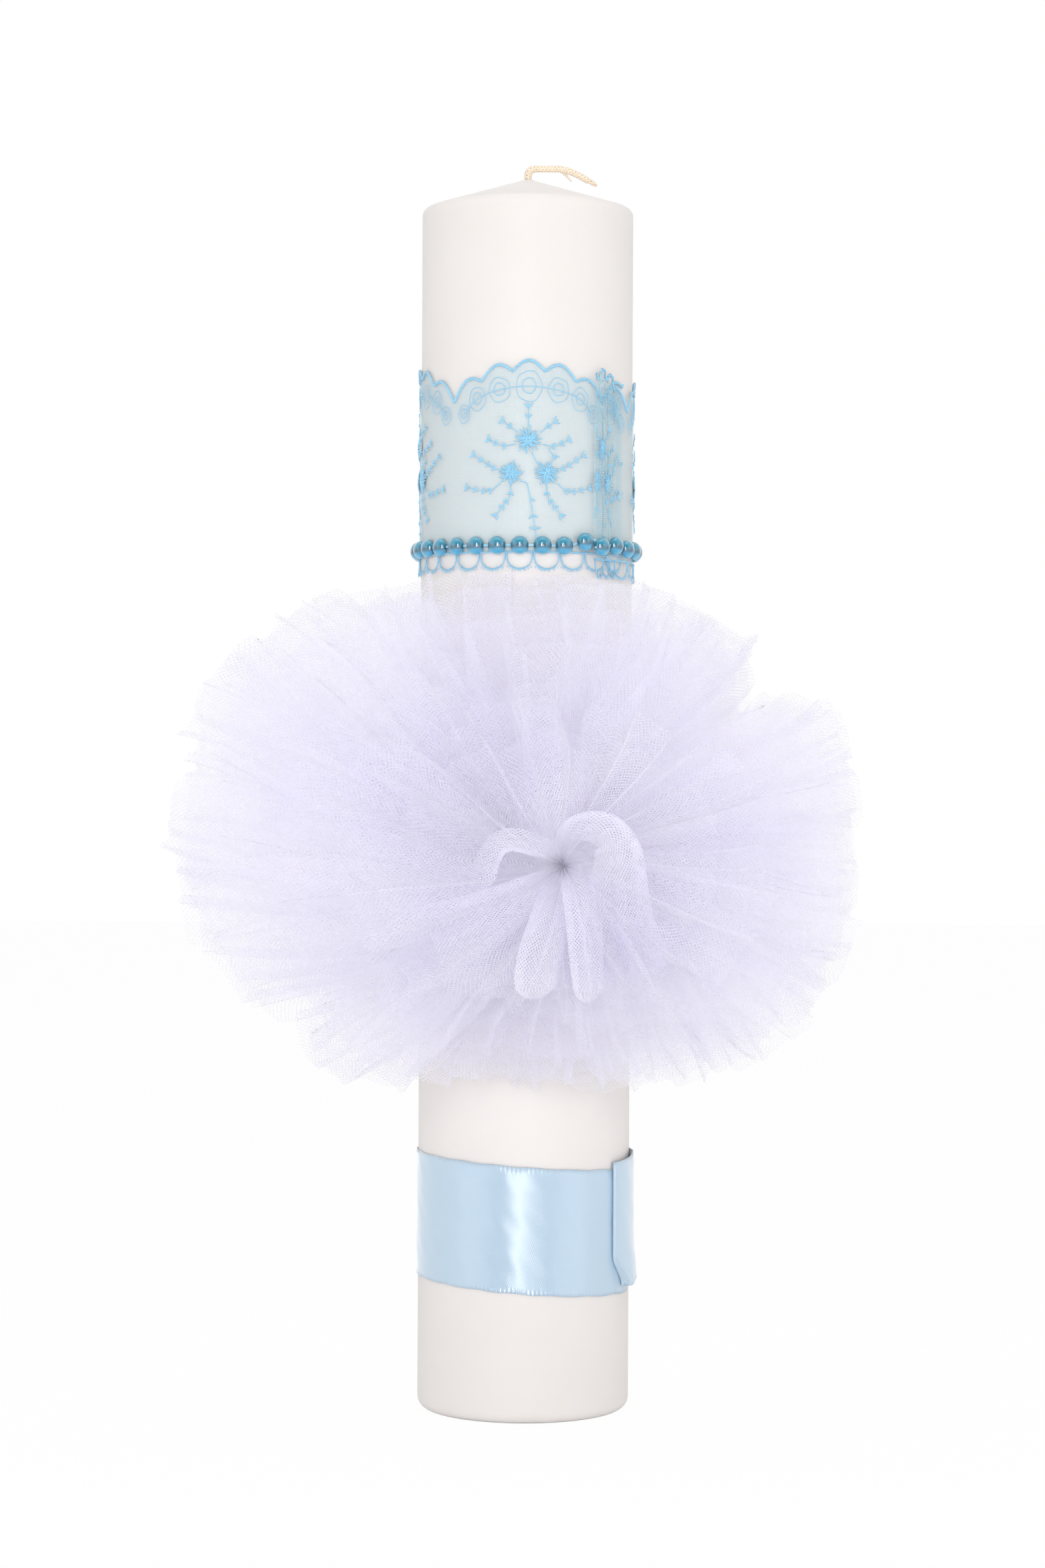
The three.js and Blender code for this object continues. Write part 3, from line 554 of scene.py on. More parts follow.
def pearl_coat(upper, middle, lower):
    """Moulded ABS pearl with a teal pearlescent lacquer and a painted reflection: darkest just below the
    middle, sky blue below.
    """
    material, tree = new_material("pearl_lacquered_abs")
    place = add_node(tree, "TexCoord", output="Object")
    height = add_node(tree, "SeparateXYZ", {0: place}, 2)
    level = add_node(tree, "Math", {0: height, 1: PEARL_DIAMETER / 2 * MM}, operation="DIVIDE")
    tint = middle
    # Painted reflection in the lacquer's colour: a dark band just below the middle, and sky blue below where
    # the floor would be mirrored
    blends = ((-0.15, 0.5, 0.0, 1.0, upper), (-0.62, -0.12, 1.0, 0.0, lower))
    for low, high, at_low, at_high, colour in blends:
        ends = {"Value": level, "From Min": low, "From Max": high, "To Min": at_low, "To Max": at_high}
        share = add_node(tree, "MapRange", ends, interpolation_type="SMOOTHSTEP")
        tint = add_node(tree, "Mix", {0: share, 6: tint, 7: colour}, 2, data_type="RGBA")
    lacquer = add_node(tree, "BsdfPrincipled", {
        "Base Color": tint,
        "Roughness": 0.3,
        "IOR": 1.5,
        "Coat Weight": 1.0,
        "Coat Roughness": 0.08,
        "Coat IOR": 1.9,
    })
    # The lacquer mirrors the white surroundings where it is seen at a slant, as a bright rim
    facing = add_node(tree, "LayerWeight", {"Blend": 0.5}, "Facing")
    rim = add_node(tree, "Math", {0: facing, 1: 3.6}, operation="POWER")
    mirror = add_node(tree, "BsdfGlossy", {"Color": linear("F4FBFF"), "Roughness": 0.12})
    shader = add_node(tree, "MixShader", {0: rim, 1: lacquer, 2: mirror})
    add_node(tree, "OutputMaterial", {"Surface": shader})
    return material


def woven_satin(colour, shade):
    """Polyester satin: long warp floats that give a broad soft gleam along the ribbon, with a fine twill and
    painted shade between the floats.
    """
    material, tree = new_material("woven_polyester_satin")
    along, across = cloth_places(tree)
    twill = add_node(tree, "Math", {0: across, 1: 0.35, 2: along}, operation="MULTIPLY_ADD")
    floats = {0: ripples(tree, twill, SATIN_FLOAT_PITCH), 1: ripples(tree, across, SATIN_ROW_PITCH)}
    crossing = add_node(tree, "Math", floats, operation="MULTIPLY")
    weave = add_node(tree, "Math", {0: crossing, 1: 0.5, 2: 0.5}, operation="MULTIPLY_ADD")
    # The selvedges are woven tighter and pucker
    selvedge = add_node(tree, "MapRange", {
        "Value": add_node(tree, "Math", {0: across}, operation="ABSOLUTE"),
        "From Min": RIBBON_WIDTH / 2 - 2.2,
        "From Max": RIBBON_WIDTH / 2 - 0.8,
    })
    puckers = {0: ripples(tree, along, SELVEDGE_PUCKER_PITCH), 1: selvedge}
    pucker = add_node(tree, "Math", puckers, operation="MULTIPLY")
    height = add_node(tree, "Math", {0: pucker, 1: 2.5, 2: weave}, operation="MULTIPLY_ADD")
    # Painted shade: the shade colour lies between the floats, where the weave is low
    shader = add_node(tree, "BsdfPrincipled", {
        "Base Color": add_node(tree, "Mix", {0: weave, 6: shade, 7: colour}, 2, data_type="RGBA"),
        "Roughness": 0.36,
        "IOR": 2.0,
        "Specular IOR Level": 1.0,
        "Anisotropic": 1.0,
        "Anisotropic Rotation": 0.25,
        "Tangent": add_node(tree, "Tangent", direction_type="UV_MAP", uv_map="Cloth"),
        "Sheen Weight": 1.0,
        "Sheen Roughness": 0.4,
        "Normal": add_node(tree, "Bump", {"Height": height, "Strength": 0.2, "Distance": 0.1 * MM}),
    })
    add_node(tree, "OutputMaterial", {"Surface": shader})
    return material


def melted_glue(colour):
    """Hot-melt glue: clear to milky, glossy and slightly uneven where it has run."""
    material, tree = new_material("hot_melt_glue")
    ripple = mottling(tree, GLUE_RIPPLE_SIZE)
    shader = add_node(tree, "BsdfPrincipled", {
        "Base Color": colour,
        "Roughness": 0.22,
        "IOR": 1.48,
        "Subsurface Weight": 0.4,
        "Subsurface Radius": (MM, MM, MM),
        "Subsurface Scale": 1.0,
        "Normal": add_node(tree, "Bump", {"Height": ripple, "Strength": 0.3, "Distance": 0.2 * MM}),
    })
    add_node(tree, "OutputMaterial", {"Surface": shader})
    return material


def glue_film(colour):
    """Hot-melt glue pressed out to a clear film between two layers of net: only its gloss shows."""
    material, tree = new_material("clear_glue_film")
    gloss = add_node(tree, "BsdfPrincipled", {"Base Color": colour, "Roughness": 0.15, "IOR": 1.48})
    add_node(tree, "OutputMaterial", {"Surface": through_holes(tree, 0.12, gloss)})
    return material


# Wax pillar


def wax_profile():
    """The pillar's half section, from the middle of its foot up and down into the hole of the wick."""
    slope = math.atan(CONE_HEIGHT / CANDLE_RADIUS)
    setback = SHOULDER_ROUNDING / math.tan((math.pi / 2 + slope) / 2)
    side_top = CONE_TIP_HEIGHT - CONE_HEIGHT - setback
    foot = arc(CANDLE_RADIUS - BASE_ROUNDING, BASE_ROUNDING, BASE_ROUNDING, -math.pi / 2, 0, 10)
    sides = as_points(CANDLE_RADIUS, np.linspace(BASE_ROUNDING, side_top, 26)[1:-1])
    shoulder_middle = CANDLE_RADIUS - SHOULDER_ROUNDING
    shoulder = arc(shoulder_middle, side_top, SHOULDER_ROUNDING, 0, math.pi / 2 - slope, 9)
    radii = np.linspace(shoulder[-1, 0], WICK_HOLE_RADIUS, 14)[1:]
    cone = as_points(radii, CONE_TIP_HEIGHT - radii * math.tan(slope))
    hole = [(WICK_HOLE_RADIUS, WAX_UNDER_WICK), (ON_AXIS, WAX_UNDER_WICK)]
    return np.vstack([[(ON_AXIS, 0)], foot, sides, shoulder, cone, hole])


def build_wax(settings):
    profile = wax_profile()
    points = revolved(profile, WAX_FACETS)
    # Poured wax settles a little: the shoulder and the cone are never quite true
    turns = TURN * np.arange(WAX_FACETS) / WAX_FACETS
    settled = smoothstep(profile[:, 1], WAX_SETTLED_FROM, WAX_SETTLED_TO)
    settled *= profile[:, 0] > WAX_LEVEL_RADIUS
    points[..., 2] += WAX_SETTLING * np.sin(3 * turns + 0.4) * settled[:, None]
    shape = Shape().add(points.reshape(-1, 3), grid_faces(len(profile) - 1, WAX_FACETS, ring=True))
    material = moulded_wax(settings.wax_colour, settings.wax_shade)
    make_piece("wax_pillar", shape, material, ["candle_body"])


# Wick


def wick_path(start_height, spacing):
    """The wick's centre line and the length along it: up out of the wax, over the bend, level, drooping."""
    level = CONE_TIP_HEIGHT + WICK_RISE
    bend_start = level - WICK_BEND_RADIUS
    turns = np.linspace(0, math.pi / 2, 8)
    share = np.linspace(0, 1, 12)[1:]
    stretches = [
        as_points(0.0, 0, np.linspace(start_height, bend_start, 6)[:-1]),
        as_points(WICK_BEND_RADIUS * (1 - np.cos(turns)), 0, bend_start + WICK_BEND_RADIUS * np.sin(turns)),
        as_points(WICK_BEND_RADIUS + np.linspace(0, WICK_LEVEL_RUN, 9)[1:], 0, level),
        as_points(
            WICK_BEND_RADIUS + WICK_LEVEL_RUN + WICK_DROOP_RUN * share, 0,
            level - WICK_DROOP * share**WICK_DROOP_CURVE,
        ),
    ]
    path = np.vstack(stretches)
    lengths = travelled(path)
    stops = np.linspace(0, lengths[-1], max(3, int(lengths[-1] / spacing)))
    return as_points(*[np.interp(stops, lengths, path[:, axis]) for axis in range(3)]), stops


def build_wick(settings):
    shape = Shape()
    path, stops = wick_path(APEX_HEIGHT - 4, 0.16)
    side = np.array([0.0, 1.0, 0.0])
    up = np.cross(unit(np.gradient(path, axis=0)), side)
    fray = smoothstep(stops, stops[-1] - WICK_FRAY_LENGTH, stops[-1])
    knob = 1 + 0.22 * np.exp(-(((stops - WICK_KNOB_AT) / WICK_KNOB_LENGTH) ** 2))
    generator = np.random.default_rng(4)
    for strand in range(WICK_STRANDS):
        hand = 1 if strand % 2 else -1
        turn = hand * TURN * stops / WICK_PLAIT + TURN * strand / WICK_STRANDS
        over = 0.2 * np.cos(TURN * stops / WICK_PLAIT * 2 + strand * math.pi / 2)
        spread = ((WICK_RADIUS - WICK_STRAND_RADIUS) * knob + over) * (1 - 0.55 * fray)
        loose = fray * generator.uniform(-0.5, 0.5)
        rise = (spread * np.sin(turn) + loose)[:, None] * up
        line = path + (spread * np.cos(turn))[:, None] * side + rise
        end = len(line) - int(generator.uniform(0, 9))
        add_tube(shape, line[:end], WICK_STRAND_RADIUS * (1 - 0.45 * fray[:end]))
    core, _ = wick_path(WAX_UNDER_WICK + 0.3, 3.0)
    add_tube(shape, core[core[:, 0] < WICK_CORE_REACH], WICK_RADIUS * 0.62, 8)
    # A loose strand that has come out of the plait under the level run
    corners = [(11.0, 0.2, 410.6), (12.6, 0.5, 409.3), (13.6, 0.6, 408.2), (14.4, 0.5, 407.4)]
    fork = smooth_path(corners, 0.3)
    add_tube(shape, fork, np.linspace(0.5, 0.3, len(fork)))
    thread = twisted_thread("braided_cotton_wick", settings.wick_colour, settings.wick_painted_groove_shade, 0.6, 0.75)
    make_piece("wick_braid", shape, thread, ["wick"])


# Wraps round the candle


def wrap_points(radius, angle, height):
    """Points on a wrap round the candle: angle in degrees from the front towards +X."""
    turn = np.radians(angle)
    return as_points(radius * np.sin(turn), -radius * np.cos(turn), height)


def lace_top(length):
    """Height of the scalloped top at a length: lobes riding on one wide arch in each repeat."""
    share = ((length - LACE_CENTRE) / LACE_REPEAT + 0.5) % 1
    arch = np.sin(np.pi * share) ** LACE_ARCH_CURVE
    lobe = np.abs(np.sin(np.pi * LACE_LOBES * share))
    return LACE_VALLEY + LACE_ARCH_HEIGHT * arch + LACE_LOBE_HEIGHT * lobe


def on_lace(flat):
    """Bends flat lace points (length, height, lift off the net) round the candle."""
    length, height, lift = flat.T
    smooth = np.degrees(np.maximum(length, BUNCH_START) / LACE_RADIUS)
    angle = smooth - np.maximum(BUNCH_START - length, 0) / BUNCH_LENGTH_PER_DEGREE
    climbed = smoothstep(-angle, -LACE_CLIMB_END - LACE_CLIMB_ANGLE, -LACE_CLIMB_END)
    bunched = smoothstep(BUNCH_START - length, 0, BUNCH_EASE)
    ripple = BUNCH_RIPPLE * bunched * (1 + np.sin(TURN * length / BUNCH_RIPPLE_PITCH + 0.06 * height))
    drop = LACE_LAP_DROP * smoothstep(-angle, LACE_DROP_FROM, LACE_DROP_TO)
    return wrap_points(LACE_RADIUS + LACE_LAP_LIFT * climbed + lift + ripple, angle, height - drop)


# Lace band


def leaf(shape, place, heading, length=1.9, width=0.27):
    """One satin-stitched leaf: a short bar of thread, thick in its middle."""
    steps = np.linspace(0, 1, 7)
    swell = np.sin(np.pi * steps)
    u, v = place
    along = length * steps
    line = as_points(u + np.cos(heading) * along, v + np.sin(heading) * along, 0.3 + 0.18 * swell)
    add_tube(shape, line, width * (0.35 + 0.65 * swell**0.6), 6, 0.8)


def twig(shape, corners, leafy=True):
    """A stitched stem with pairs of leaves that point along it, and a fork of three at its tip."""
    line = smooth_path(corners, 0.7)
    lengths = travelled(line)
    lifted = np.column_stack([line, 0.32 + 0.05 * np.cos(TURN * lengths / 0.9)])
    add_tube(shape, lifted, 0.17, 5, 0.8)
    total = lengths[-1]
    for stop in np.arange(total, 1.2, -LEAF_SPACING) if leafy else ():
        i = int(np.argmin(abs(lengths - stop)))
        step = line[min(i + 1, len(line) - 1)] - line[max(i - 1, 0)]
        heading = math.atan2(step[1], step[0])
        at_tip = stop > total - 0.5
        for turn in (-0.75, 0.75):
            leaf(shape, line[i] - step * 0.2, heading + turn, 2.0 if at_tip else 1.6)
        if at_tip:
            leaf(shape, line[i], heading, 1.3)


def flower(shape, u, v, radius, generator):
    """A round flower of many narrow stitched petals in three rings."""
    steps = np.linspace(0, 1, 6)
    swell = np.sin(np.pi * steps)
    for petals, inner, share, lift in PETAL_RINGS:
        for petal in range(petals):
            heading = TURN * petal / petals + generator.uniform(-0.16, 0.16)
            along = lerp(inner, radius * share * generator.uniform(0.72, 1.1), steps)
            bend = heading + generator.uniform(-0.25, 0.25) * steps
            rise = lift + 0.2 * swell + generator.uniform(-0.06, 0.06)
            line = as_points(u + np.cos(bend) * along, v + np.sin(bend) * along, rise)
            add_tube(shape, line, 0.2 * (0.4 + 0.6 * swell**0.5), 5, 0.8)


def add_ring(shape, u, v, half_width, half_height, lift, radius):
    """A hand-guided ring of running stitch, slightly many-sided."""
    turns = TURN * np.arange(RING_POINTS) / RING_POINTS
    uneven = 1 + 0.035 * np.cos(5 * turns + u)
    line = as_points(
        u + half_width * uneven * np.cos(turns), v + half_height * uneven * np.sin(turns), lift
    )
    add_tube(shape, line, radius, 5, 0.8, closed=True)


def add_repeat(shape, centre, generator):
    """Rings, flowers and twigs of one repeat of the embroidery."""
    repeat = Shape()
    for u, v, half_width, half_height in RINGS:
        for side in (1, -1) if u else (1,):
            add_ring(repeat, side * u, v, half_width, half_height, 0.28, 0.12)
            add_ring(repeat, side * u, v + 0.2, half_width * 0.52, half_height * 0.5, 0.34, 0.15)
    chain = [(-u, v, 0.42) for u, v, *_ in RINGS[:0:-1]] + [(u, v, 0.42) for u, v, *_ in RINGS]
    add_tube(repeat, smooth_path(chain, 0.8), 0.14, 5, 0.8)
    for corners in TWIGS_ON_BOTH_SIDES:
        twig(repeat, corners)
        twig(repeat, [(-u, v) for u, v in corners])
    for corners in TWIGS_IN_THE_MIDDLE:
        twig(repeat, corners)
    for corners in STEMS:
        twig(repeat, corners, leafy=False)
    for place, heading in STEM_LEAVES:
        leaf(repeat, place, heading)
    for u, v, radius in FLOWERS:
        flower(repeat, u, v, radius, generator)
    points = np.vstack(repeat.points) + np.array([centre, LACE_LOWER_CORD, 0])
    shape.add(points, repeat.faces, np.vstack(repeat.places))


def cut_to_lace(shape):
    """Drops the faces that lie past either end of the band, and the points that they alone used."""
    points = np.vstack(shape.points)
    inside = (points[:, 0] <= LACE_START) & (points[:, 0] >= LACE_END)
    faces = [face for face in shape.faces if all(inside[corner] for corner in face)]
    kept = sorted({corner for face in faces for corner in face})
    renumber = {old: new for new, old in enumerate(kept)}
    cut = [[renumber[corner] for corner in face] for face in faces]
    return Shape().add(points[kept], cut, np.vstack(shape.places)[kept])


def add_cord(shape, u, v, travel, pitch, sway, lean, lift, rise, radius, sides=5):
    """Two threads twisted round one another along a line of the flat lace."""
    for phase in (0.0, math.pi):
        turn = TURN * travel / pitch + phase
        aside = sway * np.cos(turn)
        add_tube(shape, as_points(u + lean * aside, v + aside, lift + rise * np.sin(turn)), radius, sides)


def add_top_cord(shape, generator):
    """The scalloped top cord, with loose stitches over it that make it look fuzzy."""
    stops = np.linspace(LACE_START, LACE_END, LACE_CORD_POINTS)
    add_cord(shape, stops, lace_top(stops), stops, 1.3, 0.3, 0, 0.35, 0.22, 0.3, 6)
    add_cord(shape, stops, LACE_LOWER_CORD, stops, 1.4, 0.2, 0, 0.25, 0.14, 0.19)
    for stop in np.arange(LACE_END + 1, LACE_START - 1, FUZZ_SPACING):
        heading = generator.uniform(0, TURN)
        back = FUZZ_LENGTH / 2
        start = lace_top(stop) - back * math.sin(heading) + generator.uniform(-0.25, 0.25)
        leaf(shape, (stop - back * math.cos(heading), start), heading, FUZZ_LENGTH, 0.16)


def add_loops(shape, generator):
    """The looped lower edge, with picots that stand out from each loop."""
    loops = round((LACE_START - LACE_END) / LACE_LOOP_PITCH)
    pitch = (LACE_START - LACE_END) / (loops + LACE_LOOP_POST_SHARE)
    half = pitch / 2 - 0.35
    right = [(half * 0.72, -4.3), (half * 0.98, -2.2), (half, 0)]
    left = [(-u, v) for u, v in reversed(right)]
    u, v = smooth_path([*left, (0, -LACE_LOOP_DEPTH), *right], 0.35).T
    travel = travelled(as_points(u, v))
    for loop in range(loops):
        middle = LACE_START - pitch * (loop + 0.5 + LACE_LOOP_POST_SHARE / 2)
        add_cord(shape, middle + u, LACE_LOWER_CORD + v, travel, 1.1, 0.22, 0.6, 0.3, 0.2, 0.17)
        for picot in np.linspace(-0.85, 0.85, PICOTS):
            root = (middle + picot * half, LACE_LOWER_CORD - LACE_LOOP_DEPTH + 1.4 * picot**2)
            heading = -math.pi / 2 + 0.5 * picot + generator.uniform(-0.6, 0.6)
            leaf(shape, root, heading, 0.95, 0.15)


def build_lace(settings):
    generator = np.random.default_rng(11)
    lengths = np.linspace(LACE_START, LACE_END, LACE_NET_COLUMNS + 1)
    tops = lace_top(lengths)
    heights = lerp(LACE_LOWER_CORD, tops, (np.arange(LACE_NET_ROWS + 1) / LACE_NET_ROWS)[:, None])
    flat = as_points(lengths, heights, 0).reshape(-1, 3)
    net = Shape().add(flat, grid_faces(LACE_NET_ROWS, LACE_NET_COLUMNS), flat[:, :2])
    material = fine_net(settings.net_colour)
    ground = make_piece("lace_net", net.moved(on_lace), material, ["lace_band"])
    thread = twisted_thread(
        "rayon_embroidery_thread", settings.embroidery_colour, settings.embroidery_painted_groove_shade, 0.45, 0.38, 0.6
    )
    sprigs = Shape()
    for repeat in range(-5, 2):
        add_repeat(sprigs, LACE_CENTRE + repeat * LACE_REPEAT, generator)
    edges = Shape()
    add_top_cord(edges, generator)
    add_loops(edges, generator)
    on_top = [
        make_piece(name, cut_to_lace(shape).moved(on_lace), thread)
        for name, shape in (("lace_embroidery", sprigs), ("lace_edge_cords", edges))
    ]
    finish_node("lace_glue_strip", glue_film(settings.glue_colour))


# Pearl strand


def pearl_shape(angle):
    """A half-round pearl about its back's middle, its dome outwards at an angle round the candle."""
    radius = PEARL_DIAMETER / 2
    turns = np.linspace(0, math.pi / 2, 13)
    dome = as_points(
        np.maximum(radius * np.cos(turns), ON_AXIS), PEARL_RIM + (PEARL_HEIGHT - PEARL_RIM) * np.sin(turns)
    )
    profile = np.vstack([[(ON_AXIS, 0), (radius - 0.25, 0), (radius - 0.06, 0.12)], dome])
    side, up, out = revolved(profile, PEARL_FACETS).reshape(-1, 3).T
    turned = as_points(
        side * math.cos(angle) + out * math.sin(angle), side * math.sin(angle) - out * math.cos(angle), up
    )
    return Shape().add(turned, grid_faces(len(profile) - 1, PEARL_FACETS, ring=True))


def build_pearls(settings):
    material = pearl_coat(settings.pearl_above_with_painted_reflection, settings.pearl_painted_dark_band, settings.pearl_below_with_painted_floor_reflection)
    for name in PEARLS:
        points = np.array([vertex.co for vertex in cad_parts[name].data.vertices]) / MM
        crown = points[np.argmax(np.hypot(points[:, 0], points[:, 1]))]
        angle = math.atan2(crown[0], -crown[1])
        seat = crown - PEARL_HEIGHT * np.array([math.sin(angle), -math.cos(angle), 0])
        bead = name.replace("pearl_", "pearl_bead_")
        make_piece(bead, pearl_shape(angle), material, [name], seat)
    thread = twisted_thread(
        "clear_link_thread", settings.link_colour, settings.link_painted_groove_shade, 0.5, 0.3, 0.1
    )
    finish_node("pearl_thread", thread)
    finish_node("strand_glue_dab", bpy.data.materials["hot_melt_glue"])


# Tulle pompom


def outline_reach(angle):
    """Distance from the gather to the squared oval outline, with its bulges, for an array of angles."""
    direction = as_points(np.cos(angle), np.sin(angle))
    halves = np.array([POMPOM_HALF_WIDTH, POMPOM_HALF_HEIGHT])
    near = np.zeros(len(angle))
    far = np.full(len(angle), 2.0 * POMPOM_HALF_WIDTH)
    for _ in range(30):
        middle = (near + far) / 2
        from_centre = middle[:, None] * direction - np.array(POMPOM_OVAL_SHIFT)
        outside = (np.abs(from_centre / halves) ** POMPOM_OVAL_POWER).sum(1) > 1
        far = np.where(outside, middle, far)
        near = np.where(outside, near, middle)
    share = np.ones(len(angle))
    for bulge, spread, amount in OUTLINE_BULGES:
        apart = (angle - math.radians(bulge) + math.pi) % TURN - math.pi
        share += amount * np.exp(-((apart / math.radians(spread)) ** 2))
    return near * share


def wandering(angle, waves, size, generator):
    """A smooth periodic wander made of a few sine waves."""
    total = np.zeros_like(angle)
    for number in waves:
        total += generator.uniform(0.5, 1.0) * np.sin(number * angle + generator.uniform(0, TURN))
    return size * total / len(waves)


def by_blade(values, travel, ease=0.22):
    """One value for each folded blade, eased from blade to blade round the pompom."""
    count = len(values)
    whole = np.floor(travel).astype(int)
    share = smoothstep(travel - whole, 0.5 - ease, 0.5 + ease)
    return lerp(values[whole % count], values[(whole + 1) % count], share)


class Folds(NamedTuple):
    """How one ply is folded, with a value for each of its columns of points."""

    middle: np.ndarray
    wave: np.ndarray
    small: np.ndarray
    lean: np.ndarray
    swing: np.ndarray
    size: np.ndarray
    length: np.ndarray
    height: np.ndarray


class Ply(NamedTuple):
    """One gathered sheet of net: how far it reaches, how it rises and turns over, and how it is folded."""

    tier: int
    reach: float
    crest: float
    droop: float
    steepness: float
    blades: int
    neck: float
    step: float
    fold: float
    ragged: float
    seed: int
    stem: float = 0

    def folds(self, generator):
        """The folded blades: each has its own width, lean, size, length, height and swing."""
        columns = self.blades * BLADE_STEPS
        travel = np.arange(columns + 1) / BLADE_STEPS

        def each_blade(low, high, power=1, ease=0.22):
            return by_blade(generator.uniform(low, high, self.blades) ** power, travel, ease)

        widths = generator.uniform(0.55, 1.45, self.blades)
        widths *= TURN / widths.sum()
        bounds = np.r_[0, np.cumsum(widths)] + generator.uniform(0, TURN)
        middle = np.interp(travel, np.arange(self.blades + 1), bounds)
        lean = each_blade(0.9, 2.1) * (0.7 if self.stem else 1) * by_blade(widths, travel) / TURN
        size = each_blade(0.45, 1.5)
        length = 1 - self.ragged * each_blade(0, 1, 1.5, 0.12)
        cut = each_blade(-0.035, 0.035) * (travel % 1 - 0.5)
        length = length + cut + generator.uniform(-0.004, 0.004, columns + 1)
        length[-1] = length[0]
        height = each_blade(0.88, 1.1)
        swing = each_blade(-0.1, 0.1)
        small = np.sin(2 * TURN * travel + each_blade(0, TURN))
        # A stem's folds are rounder than those of an open ply
        sharp = 0.9 if self.stem else 0.97
        wave = np.arcsin(sharp * np.sin(TURN * travel)) / math.asin(sharp)
        return Folds(middle, wave, small, lean * np.cos(TURN * travel), swing, size, length, height)

    def ring(self, stop, folds):
        """One ring of points at a share of the slant: below 0 in the neck, and 1 at the cut edge."""
        out = max(stop, 0.0)
        gone = out * folds.length
        opened = smoothstep(out, 0.02, 0.3)
        middle = folds.middle + GATHER_SPIN * (1 - out) ** 2
        angle = middle + folds.lean * opened + folds.swing * np.sin(math.pi * out) * opened
        opening = np.clip((gone - STEM_SHARE) / (1 - STEM_SHARE), 0, 1) if self.stem else gone
        whole = outline_reach(middle) * self.reach
        radius = self.neck + (whole - self.neck) * opening**self.steepness
        if self.stem:
            # The stem closes at its top, and its cloth is bunched
            radius = radius - 0.7 * self.neck * smoothstep(gone, 0, STEM_SHARE) * (1 - opening)
            bunched = 1 - smoothstep(gone, STEM_SHARE, 2 * STEM_SHARE)
            radius = radius + 0.75 * self.neck * folds.wave * bunched
        mouth = NECK_BASE + NECK_HEIGHT * min(1.0, 1 + stop / NECK_SHARE)
        rise = (self.crest - self.stem) * np.sin(np.pi / 2 * np.minimum(1, 1.35 * opening))
        rise = rise * lerp(1, folds.height, out) + self.stem * np.minimum(1, gone / STEM_SHARE)
        fall = self.droop * gone**3
        if self.tier == 1:
            fall = fall + TIER_SIDE_FALL * np.cos(angle) ** 2 * out**2
        steepest = (0.1 if self.stem else 0.16) * radius
        fold = np.minimum(steepest, self.fold) * folds.size * (folds.wave + 0.25 * folds.small * opened)
        generator = np.random.default_rng(self.seed + 50)
        wander = wandering(folds.middle + 0.7 * out, (2, 3, 5), 2.2 * out, generator)
        depth = mouth + rise - fall + fold + wander + self.step * opened
        return as_points(radius * np.cos(angle), -depth, radius * np.sin(angle))

    def build(self):
        """The ply's shape, how much its net is pressed together at each point, and its slant length."""
        generator = np.random.default_rng(self.seed)
        folds = self.folds(generator)
        stops = np.r_[-NECK_SHARE, -0.05, np.linspace(0, 1, PLY_ROWS - 1) ** 1.1]
        points = np.array([self.ring(stop, folds) for stop in stops])
        across = travelled(points[int(PLY_ROWS * 0.8)])
        down = np.r_[0, np.cumsum(np.linalg.norm(np.diff(points, axis=0), axis=2).mean(1))]
        # Each sheet was cut at its own slant to the net
        bias = generator.uniform(-0.6, 0.6)
        cosine, sine = math.cos(bias), math.sin(bias)
        along, aside = np.broadcast_arrays(across, down[:, None])
        places = as_points(along * cosine - aside * sine, along * sine + aside * cosine)
        faces = grid_faces(PLY_ROWS, len(across) - 1)
        shape = Shape().add(points.reshape(-1, 3) + POMPOM_ORIGIN, faces, places.reshape(-1, 2))
        return shape, np.repeat(np.clip(1 - stops, 0, 1), len(across)), float(down[-1])


# Plies: tier, reach, crest, droop, steepness, blades, neck radius, place in front, fold, raggedness, seed,
# height of the stem
PLIES = [
    Ply(1, 1.02, 6, 6, 1.0, 46, 9.0, -2.0, 2.0, 0.06, 1),
    Ply(1, 1.01, 8, 6, 1.0, 42, 8.7, 0.8, 2.2, 0.07, 2),
    Ply(1, 0.98, 13, 6, 1.0, 40, 8.2, 2.0, 2.2, 0.1, 3),
    Ply(2, 0.96, 21, 8, 1.05, 36, 7.4, 0.0, 2.4, 0.12, 4),
    Ply(2, 0.9, 28, 10, 1.1, 34, 6.8, 1.0, 2.4, 0.14, 5),
    Ply(3, 0.84, 34, 12, 1.1, 30, 5.6, 0.0, 2.6, 0.16, 6),
    Ply(3, 0.76, 40, 13, 1.1, 26, 5.0, 1.0, 2.8, 0.18, 7, 14),
    Ply(4, 0.72, 43, 13, 1.1, 23, 4.2, 0.0, 3.2, 0.22, 8, 24),
    Ply(4, 0.66, 46, 12, 1.1, 21, 3.6, 1.0, 3.6, 0.25, 9, 33),
    Ply(4, 0.57, 48, 11, 1.1, 20, 3.0, 1.5, 4.0, 0.25, 10, 39.5),
]


def press_net(piece, pressed, settings):
    """Stores how wide the threads look: gathering presses the meshes of the net together."""
    values = lerp(settings.thread_share, settings.pressed_share, pressed**1.5).astype(np.float32)
    attribute = piece.data.attributes.new("thread_share", "FLOAT", "POINT")
    attribute.data.foreach_set("value", values)


def build_tulle(settings):
    material = knitted_tulle(settings.tulle_colour, settings.tulle_shade)
    for place, ply in enumerate(PLIES):
        shape, pressed, slant = ply.build()
        number = 1 + sum(other.tier == ply.tier for other in PLIES[:place])
        tier = f"tulle_tier_{ply.tier}"
        stands_for = [tier] if number == 1 else []
        piece = make_piece(f"{tier}_ply_{number}", shape, material, stands_for)
        press_net(piece, pressed, settings)
    for number, (open_side, stations, widths) in enumerate(CURLS, 1):
        build_curl(number, open_side, stations, widths, material, settings)
    build_gather(settings)


